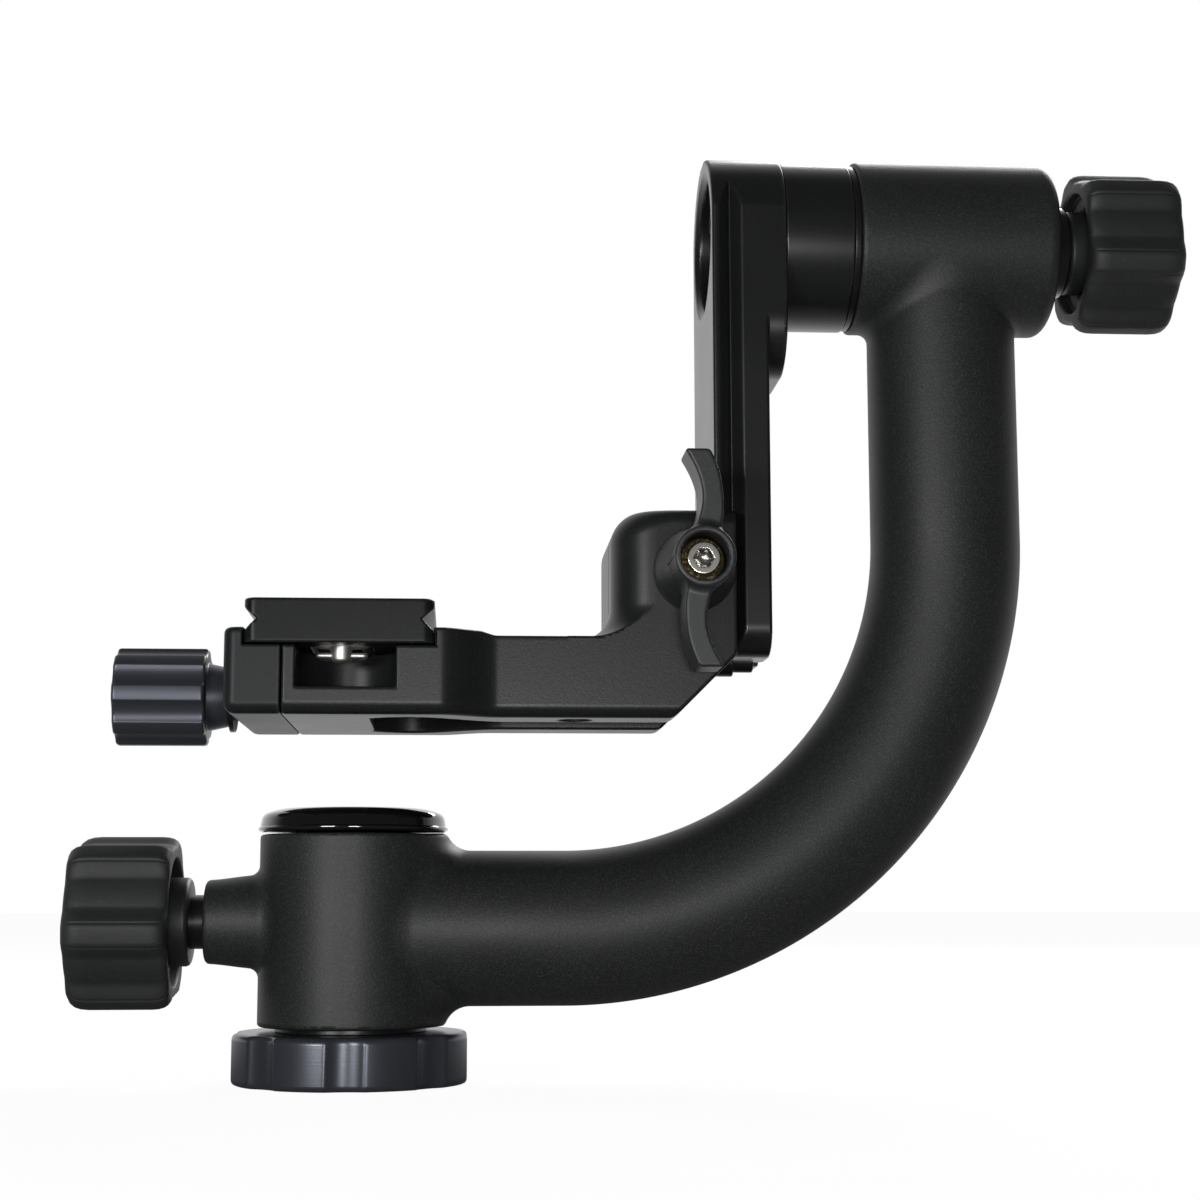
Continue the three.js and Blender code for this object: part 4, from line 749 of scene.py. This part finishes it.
SATIN = dict(grain_scale=3200.0, flecks=0.7, worn=0.3, worn_color=(0.05, 0.05, 0.05))
satin_black = finish("satin_black_anodised", color=(0.006, 0.0064, 0.0068), light=(0.016, 0.017, 0.018),
                     roughness=0.3, depth=0.000006, swing=0.05, **SATIN)
arm = cast("grooved_swing_arm", arm_distance, low=(ARM_LEFT, -19, ARM_BOTTOM), high=(ARM_PAD_RIGHT, 19, 200),
           step=0.5)
fit(arm, satin_black, "swing", "satin_anodised", "swing_arm")
pin_outline = stepped_bar(start=76.4, steps=[(3.3, 80.8), (2.4, 85.2)])
stop_pin = round_turned("two_step_pin", pin_outline, [0, 0.4, 0.3, 0.1, 0.5, 0], "x", (0, 0, PIN_Z), 64)
fit(stop_pin, black_steel, "swing", "black_steel", "stop_pin")

# Tilt axle, its screws, the collar and the seal ring
# A blackened steel axle is held in the arm's recess by four screws through its dished flange.
# A satin collar spaces the arm from the housing, and a thin ring seals the bearing behind it.

FLANGE = (14.3, 83.0)
AXLE = (8, 151.0)
AXLE_STUD = (5, 171.4)
FLANGE_START = 79.4
DISH_RADIUS = 5
DISH_FLOOR = 81.0
SCREW_COUNT = 4
SCREW_CIRCLE = 11.2
SCREW_START = 77.8
axle_outline = [(0, DISH_FLOOR), (DISH_RADIUS, DISH_FLOOR), (DISH_RADIUS, FLANGE_START),
                *stepped_bar(FLANGE_START, [FLANGE, AXLE, AXLE_STUD])[1:]]
axle = round_turned("flanged_axle", axle_outline, [0, 0.2, 0.4, 0.5, 0, 0, 0.5, 0, 0.5, 0], "x",
                    (0, 0, TILT_Z))
fit(axle, black_steel, "swing", "black_steel", "tilt_axle")
for number in range(SCREW_COUNT):
    angle = np.pi / SCREW_COUNT + number * 2 * np.pi / SCREW_COUNT
    centre = (SCREW_START, SCREW_CIRCLE * np.cos(angle), TILT_Z + SCREW_CIRCLE * np.sin(angle))
    screw = socket_screw(f"flange_screw_{number + 1}", "x", centre, head_radius=2.4, head=1.5,
                         shank_radius=1.4, length=8.5, socket_radius=1.1, socket=1.0)
    fit(screw, black_steel, "swing", "black_steel", f"axle_screw_{number + 1}")
collar_outline = tube_outline(inner=AXLE_HOLE, outer=18.4, start=91.3, end=106.1)
collar = round_turned("satin_collar", collar_outline, 0.4, "x", (0, 0, TILT_Z), 160)
fit(collar, satin_black, "swing", "satin_anodised", "tilt_collar")
seal_outline = tube_outline(inner=AXLE_HOLE, outer=18.1, start=106.2, end=107.6)
seal = round_turned("seal_ring", seal_outline, 0.3, "x", (0, 0, TILT_Z), 160)
fit(seal, black_steel, "swing", "black_steel", "tilt_seal_ring")

# Cradle
# One coated casting: the plate clamp's bed, a narrower waist, and the front half of the arm clamp's block.
# Its underside is pocketed to save weight, and a socket screw is sunk in the pocket's edge.

BED_LEFT = -13.4
BED_HALF = 29.5
BED_BOTTOM = 74.5
BED_TOP = 92
BED_ROUND = 2.6
WAIST_START = 18
WAIST_END = 30
WAIST_IN = 6.5
WAIST_DROP = 0.8
WAIST_DROP_START = 26
BLOCK_LEFT = 53.5
BLOCK_HALF = 23
BLOCK_CORNER = 9.2
BLOCK_TOP = 118
BLOCK_ROUND = 6.6
BLOCK_ROUND_LOSS = 3.4
BLOCK_ROUND_LOSS_X = (54, 67)
COLUMN_LEFT = 44
COLUMN_ROOT = 80
COLUMN_FILLET = 7
FRONT_SEAM_Y = -9
ARM_FACE_X = 74.8
JAW_REACH_X = 79.1
JAW_INSIDE = 18.8
TOE_INSIDE = 16.4
TOE_X = 76.73
TOE_RUN = 2.4
TOE_RISE = 2.22
TOE_SLANT = 3.269
CLAMP_X = -2
CLAMP_FLOOR = 88.3
CLAMP_WALL = 19.3
LIP_X = 19.433
LIP_Z = 91
LIP_SLOPE = 1.0417
LIP_SLANT = 1.444
UNDER_CHAMFER_X = 66
FINGER_X = -0.7
FINGER_Y = -20.5
FINGER_RADIUS = 10
FINGER_FLOOR = 80
POCKET_LEFT = 3.5
POCKET_MIDDLE = 12
POCKET_RIGHT = 32
POCKET_HALF = 21
POCKET_ROUND = 4
POCKET_IN = 11.4
POCKET_TOP = 79.5
CHANNEL_HALF = 6.2
CHANNEL_LEFT = 14
CHANNEL_TOP = 81.5
WELL_PLACE = (46, -14.6)
WELL_RADIUS = 3.5
WELL_TOP = 78.1
CLAMP_Z = 80.3
CLAMP_BORE = 4
CLAMP_BORE_END = -0.1
WING_X = 70.1
WING_Z = 104.6
WING_BORE = 3.3


def block_plan(x, y, side, seam):
    """Plan of one half of the arm clamp: its inner part ends at the arm, its outer part passes it, and a toe
    leans into the groove. `side` is -1 for the front half, 1 for the rear one."""
    out = side * y
    inner = np.maximum(x - ARM_FACE_X, side * seam - out)
    outer = np.maximum(x - JAW_REACH_X, JAW_INSIDE - out)
    lean = (-(x - TOE_X) * TOE_RUN + (JAW_INSIDE - out) * TOE_RISE) / TOE_SLANT
    toe = np.maximum(np.maximum(x - JAW_REACH_X, TOE_INSIDE - out), lean)
    return np.minimum(inner, np.minimum(outer, toe))


def block_body(x, y, z, side):
    """The block with a wide round down its outer left corner. Its top edge is rounder towards the left."""
    corner = meet(BLOCK_LEFT - x, side * y - BLOCK_HALF, BLOCK_CORNER)
    return meet(corner, z - BLOCK_TOP, BLOCK_ROUND - BLOCK_ROUND_LOSS * step_up(x, *BLOCK_ROUND_LOSS_X))


def dovetail(x, z, side):
    """Space of the plate in the clamp: over the floor, inside the wall, and under the leaning lip."""
    out = side * (x - CLAMP_X)
    lip = (out - LIP_X + (z - LIP_Z) * LIP_SLOPE) / LIP_SLANT
    return np.maximum(np.maximum(CLAMP_FLOOR - z, out - CLAMP_WALL), lip)


def drawn_in(x, y, half, start, end, inward):
    """Distance to two walls, `half` off the middle, that draw in by 3t^2 - 2t^3 between start and end. The
    length of (1, slope) divides it, which keeps it true."""
    t = np.clip((x - start) / (end - start), 0, 1)
    slope = 6 * inward / (end - start) * t * (1 - t)
    return (np.abs(y) - (half - inward * step_up(x, start, end))) / np.hypot(1, slope)


def cradle_distance(x, y, z):
    """Bed, waist and filleted column, less the clamp's space, the pockets, the holes and the chamfer."""
    side = drawn_in(x, y, BED_HALF, WAIST_START, WAIST_END, WAIST_IN)
    top = z - BED_TOP + WAIST_DROP * step_up(x, WAIST_DROP_START, WAIST_END)
    bed = meet(meet(side, BED_BOTTOM - z, BED_ROUND), top, 0.6)
    bed = meet(meet(bed, BED_LEFT - x, 0.3), x - ARM_FACE_X, 0.4)
    column = blend(z - (BED_TOP - WAIST_DROP), block_body(x, y, z, -1), COLUMN_FILLET)
    column = np.maximum(column, -y - BLOCK_HALF)
    column = meet(column, block_plan(x, y, -1, FRONT_SEAM_Y), 0.4)
    column = np.maximum(np.maximum(column, COLUMN_ROOT - z), COLUMN_LEFT - x)
    body = np.minimum(bed, column)
    body = meet(body, (x - UNDER_CHAMFER_X - z + BED_BOTTOM) / np.sqrt(2), 0.7)
    body = meet(body, -dovetail(x, z, 1), 0.25)
    finger_room = np.hypot(x - FINGER_X, np.maximum(y - FINGER_Y, 0)) - FINGER_RADIUS
    body = meet(body, -np.maximum(finger_room, FINGER_FLOOR - z), 0.5)
    left_round = 1 - np.clip((x - POCKET_LEFT) / (POCKET_MIDDLE - POCKET_LEFT), 0, 1)
    pocket_half = POCKET_HALF - POCKET_ROUND * left_round**2
    pocket_side = drawn_in(x, y, pocket_half, POCKET_MIDDLE, POCKET_RIGHT, POCKET_IN)
    pocket = meet(np.maximum(pocket_side, POCKET_LEFT - x), z - POCKET_TOP, 1.2)
    body = meet(body, -pocket, 0.6)
    channel = np.maximum(np.maximum(np.abs(y) - CHANNEL_HALF, CHANNEL_LEFT - x), z - CHANNEL_TOP)
    well = np.hypot(x - WELL_PLACE[0], y - WELL_PLACE[1]) - WELL_RADIUS
    well = np.maximum(well, z - WELL_TOP)
    clamp_bore = np.maximum(np.hypot(y, z - CLAMP_Z) - CLAMP_BORE, x - CLAMP_BORE_END)
    stud_bore = np.hypot(x - WING_X, z - WING_Z) - WING_BORE
    return meet(body, -np.minimum(np.minimum(channel, well), np.minimum(clamp_bore, stud_bore)), 0.3)


smooth_coat = finish(
    "smooth_coat_on_casting", color=(0.0084, 0.0089, 0.0091), light=(0.014, 0.0148, 0.015), roughness=0.37,
    grain_scale=2800.0, depth=0.00002, flecks=0.6, Specular_IOR_Level=0.29, **COATED)
cradle = cast("cast_cradle", cradle_distance, low=(-13.5, -29.6, 74.4), high=(79.2, 29.6, 118.1), step=0.5)
fit(cradle, smooth_coat, "cradle", "cast_coat", "cradle")
under_screw = socket_screw("sunk_socket_screw", "z", (*WELL_PLACE, 75.2), head_radius=3.1, head=2.8,
                           shank_radius=1.7, length=11.8, socket_radius=1.5, socket=1.4)
fit(under_screw, stainless, "cradle", "stainless", "underside_screw")
recoat(stainless, "rear_jaw_dowel", "front_jaw_guide_pin", "rear_jaw_guide_pin")

# Rear jaw of the arm clamp
# The loose half of the block, cast and coated like the cradle.
# It slides on a dowel as the wing knob draws it in.

REAR_SEAM_Y = -8.6
REAR_JAW_BOTTOM = 91.7


def rear_jaw_distance(x, y, z):
    """The column's mirror image behind the seam, standing just over the waist."""
    body = meet(block_body(x, y, z, 1), block_plan(x, y, 1, REAR_SEAM_Y), 0.4)
    stud_bore = np.hypot(x - WING_X, z - WING_Z) - WING_BORE
    return np.maximum(meet(body, REAR_JAW_BOTTOM - z, 0.3), -stud_bore)


rear_jaw = cast("cast_rear_jaw", rear_jaw_distance, low=(53.4, -8.7, 91.6), high=(79.2, 23.1, 118.1),
                step=0.5)
fit(rear_jaw, smooth_coat, "rear_jaw", "cast_coat", "rear_clamp_jaw")

# Wing knob
# A moulded hub with two bowed blades, opposite in curve, on the stud that pulls the rear jaw.
# A stainless socket screw holds it by a brass insert in the bottom of its recess.

HUB_RADIUS = 6.1
HUB_FLARE = 2.3
HUB_FLARE_Y = (-34.5, -26)
HUB_SLANT = 0.96
HUB_FRONT_Y = -45
HUB_BACK_Y = -23.4
HUB_BORE = 4.8
HUB_BORE_FLOOR_Y = -36.6
BLADE_BOW = (-2.289, 0.6931, -0.02971)
BLADE_HALF = 2.1
BLADE_ROOT = (7, 13)
BLADE_ROOT_EXTRA = 0.3
BLADE_TIP = (14, 21)
BLADE_TIP_EXTRA = 0.1
BLADE_REACH = 21.8
BLADE_FRONT_Y = -43.4
BLADE_BACK_Y = -31.9
BLADE_FILLET = 1.6


def wing_distance(x, y, z):
    """Flared hub and two blades: a blade's middle line is off its radius r by a + br + cr^2, turned half
    round for the lower one, and the blade is a little thicker at its root and its tip."""
    across, up = x - WING_X, z - WING_Z
    radial = np.hypot(across, up)
    hub_radius = HUB_RADIUS + HUB_FLARE * step_up(y, *HUB_FLARE_Y)
    hub = meet((radial - hub_radius) * HUB_SLANT, HUB_FRONT_Y - y, 0.55)
    hub = meet(hub, y - HUB_BACK_Y, 0.6)
    reach = np.abs(up)
    a, b, c = BLADE_BOW
    off = across * np.where(up < 0, -1, 1) - (a + b * reach + c * reach**2)
    lean = 1 / np.hypot(1, b + 2 * c * reach)
    root_extra = BLADE_ROOT_EXTRA * (1 - step_up(reach, *BLADE_ROOT))
    tip_extra = BLADE_TIP_EXTRA * step_up(reach, *BLADE_TIP)
    blade = meet(np.abs(off) * lean - (BLADE_HALF + root_extra + tip_extra), reach - BLADE_REACH, 0.7)
    blade = meet(meet(blade, BLADE_FRONT_Y - y, 0.6), y - BLADE_BACK_Y, 1.2)
    body = blend(hub, blade, BLADE_FILLET)
    return meet(body, -np.maximum(radial - HUB_BORE, y - HUB_BORE_FLOOR_Y), 0.35)


wing = cast("bowed_wing_knob", wing_distance, low=(60, -45.1, 82), high=(80, -23.3, 127), step=0.4)
fit(wing, moulded_black, "wing_knob", "moulded_black", "wing_knob")
brass = finish("insert_brass", color=(0.03, 0.023, 0.01), light=(0.12, 0.09, 0.04), roughness=0.55,
               grain_scale=1500.0, depth=0.00001, flecks=0.6, Metallic=1.0)
insert_outline = tube_outline(inner=2.3, outer=4.5, start=-38.7, end=-36.7)
insert = round_turned("knob_insert", insert_outline, 0.3, "y", (WING_X, 0, WING_Z), 64)
fit(insert, brass, "wing_knob", "insert_brass", "wing_knob_insert")
wing_screw = socket_screw("knob_screw", "y", (WING_X, -41.8, WING_Z), head_radius=3.3, head=3.0,
                          shank_radius=2.0, length=12.5, socket_radius=1.75, socket=1.7)
fit(wing_screw, stainless, "wing_knob", "stainless", "wing_knob_screw")
recoat(black_steel, "wing_clamp_stud", "clamp_screw")

# Moving jaw of the plate clamp, and its knob
# A satin jaw slides on two guide pins. A turned knob with eight flutes, anodised blue-black, draws it in.
# The knob's short neck bears on the jaw through a thin washer.

JAW_LEFT = -25.1
JAW_RIGHT = -13.7
JAW_TOP = 91.9


def jaw_distance(x, y, z):
    """Bar with rounded outer edges and a flat inner face, less the plate's space and the screw's bore."""
    plan = meet(np.abs(y) - BED_HALF, JAW_LEFT - x, BED_ROUND)
    body = meet(meet(plan, BED_BOTTOM - z, 2.4), z - JAW_TOP, 1.2)
    body = meet(body, x - JAW_RIGHT, 0.3)
    body = meet(body, -dovetail(x, z, -1), 0.25)
    return np.maximum(body, CLAMP_BORE - np.hypot(y, z - CLAMP_Z))


jaw_grey = finish("satin_grey_anodised", color=(0.0085, 0.0098, 0.0106), light=(0.02, 0.021, 0.022),
                  roughness=0.42, depth=0.000008, swing=0.05, Specular_IOR_Level=0.2, **SATIN)
jaw = cast("sliding_jaw", jaw_distance, low=(JAW_LEFT, -29.6, 74.4), high=(-13.6, 29.6, 92), step=0.45)
fit(jaw, jaw_grey, "clamp_jaw", "satin_anodised", "moving_clamp_jaw")
knob_blue = finish("knob_blue_anodised", roughness=0.36, marks_axis=(1, 0, 0), **BLUE_ANODISED)
KNOB_RADIUS = 10.3
KNOB_START = -50.0
KNOB_DISH = -49.5
KNOB_END = -30.9
NECK_END = -26.4
KNOB_SOCKET = -43
knob_outline = [
    (0, KNOB_DISH, 0), (7.4, KNOB_DISH, 0), (7.8, KNOB_START, 0), (KNOB_RADIUS, KNOB_START, 1),
    (KNOB_RADIUS, KNOB_END, 1), (7.2, KNOB_END, 0), (6.2, NECK_END, 0), (CLAMP_BORE, NECK_END, 0),
    (CLAMP_BORE, KNOB_SOCKET, 0), (0, KNOB_SOCKET, 0)]
knob_flutes = scallops(KNOB_RADIUS, count=8, hollow_radius=4.4, depth=1.0, phase=np.pi / 8, edge=0.15)
clamp_knob = round_turned("fluted_knob", knob_outline, [0, 0.2, 0.3, 0.9, 0.9, 0.3, 0.3, 0, 0, 0], "x",
                          (0, 0, CLAMP_Z), 384, knob_flutes)
fit(clamp_knob, knob_blue, "clamp_knob", "blue_anodised", "clamp_knob")
washer_outline = tube_outline(inner=CLAMP_BORE, outer=7.4, start=-26.3, end=-25.2)
knob_washer = round_turned("knob_washer", washer_outline, 0.2, "x", (0, 0, CLAMP_Z))
fit(knob_washer, black_steel, "clamp_knob", "black_steel", "clamp_knob_washer")

# Camera plate
# A plate of satin black aluminium with V-notched edges that the clamp's lips hold.
# It is slotted for its screw, and relieved beneath the slot for the screw's flange.

PLATE_HALF_WIDTH = 19
PLATE_HALF_LENGTH = 25
PLATE_CENTRE_Y = -6
PLATE_BOTTOM = 88.6
PLATE_TOP = 97.6
PLATE_CORNER = 2.6
NOTCH_Z = 93.4
NOTCH_HALF = 2.4
NOTCH_DEPTH = 2.5
NOTCH_SLANT = 1.444
SLOT_HALF = 3.4
SLOT_ENDS_Y = (-20, 13)
RELIEF_HALF = 6.2
RELIEF_TOP = 90.3


def plate_distance(x, y, z):
    """Prism with a V notch in each long edge and rounded corners, less the slot and the relief under it."""
    out = np.abs(x - CLAMP_X)
    notch = np.clip(1 - np.abs(z - NOTCH_Z) / NOTCH_HALF, 0, 1)
    side = (out - PLATE_HALF_WIDTH + NOTCH_DEPTH * notch) / np.where(notch > 0, NOTCH_SLANT, 1)
    ends = np.abs(y - PLATE_CENTRE_Y) - PLATE_HALF_LENGTH
    plan = np.maximum(meet(out - PLATE_HALF_WIDTH, ends, PLATE_CORNER), side)
    body = meet(meet(plan, PLATE_BOTTOM - z, 0.3), z - PLATE_TOP, 0.5)
    body = meet(body, ends, 0.3)
    along = np.hypot(out, y - np.clip(y, *SLOT_ENDS_Y))
    relief = np.maximum(along - RELIEF_HALF, z - RELIEF_TOP)
    return np.maximum(body, -np.minimum(along - SLOT_HALF, relief))


plate_black = finish("plate_black_anodised", color=(0.006, 0.0066, 0.0074), light=(0.014, 0.015, 0.016),
                     roughness=0.34, depth=0.000006, swing=0.04, Specular_IOR_Level=0.16, **SATIN)
plate = cast("dovetail_plate", plate_distance, low=(-21, -31, 88.6), high=(17, 19, 97.6), step=0.4)
fit(plate, plate_black, "plate", "satin_anodised", "camera_plate")

# Captive camera screw and its ring
# A stainless 1/4 inch screw hangs in the plate's slot. A wire ring, folded flat, turns it by hand.

SCREW_PLACE = (-2.0, -20.0)
# Stainless painted paler than the other stainless parts: the extra brightness is a painted highlight, for the
# bright glint of light on the camera screw and its ring.
stainless_with_painted_highlight = finish("stainless_with_painted_highlight", color=(0.68, 0.67, 0.64), light=(0.77, 0.76, 0.73), roughness=0.46,
                      grain_scale=1500.0, depth=0.000004, worn=0.3, Metallic=1.0)
RING_BOSS = (2.1, 88.9)
SCREW_FLANGE = (5.8, 90.2)
SCREW_SHANK = (3.1, 96.8)
screw_outline = stepped_bar(start=85.6, steps=[RING_BOSS, SCREW_FLANGE, SCREW_SHANK])
camera_screw = round_turned("captive_screw", screw_outline, [0, 1.2, 0.1, 0.3, 0.3, 0, 0.5, 0], "z",
                            (*SCREW_PLACE, 0), 96)
fit(camera_screw, stainless_with_painted_highlight, "camera_screw", "stainless", "camera_screw")
RING_HALF = 4.8
RING_REACH = 6.2
RING_WIRE = 0.6
RING_Z = 87.1
BOW_SHARE = 0.7


def bent_ring(name, steps=96, round_sides=16):
    """Wire of a round section carried round a closed D: half an ellipse, and a straight bar back."""
    t = np.arange(steps) / steps
    sweep = np.pi * np.clip(t / BOW_SHARE, 0, 1)
    bar = np.clip((t - BOW_SHARE) / (1 - BOW_SHARE), 0, 1)
    path = np.stack([RING_HALF * (np.cos(sweep) + 2 * bar), RING_REACH * np.sin(sweep)], 1)
    heading = np.roll(path, -1, 0) - np.roll(path, 1, 0)
    heading /= np.linalg.norm(heading, axis=1, keepdims=True)
    outward = np.stack([heading[:, 1], -heading[:, 0], np.zeros(steps)], 1)
    angle = np.arange(round_sides) * 2 * np.pi / round_sides
    centre = np.column_stack([path + np.array(SCREW_PLACE), np.full(steps, RING_Z)])
    surface = (centre[:, None] + RING_WIRE * np.cos(angle)[None, :, None] * outward[:, None]
               + RING_WIRE * np.sin(angle)[None, :, None] * np.array([0, 0, 1.0]))
    return skinned(name, surface, grid_quads(steps, round_sides, closed=True))


# The ring takes the same stainless with its painted highlight.
ring = bent_ring("folding_ring")
fit(ring, stainless_with_painted_highlight, "screw_ring", "stainless", "camera_screw_ring")
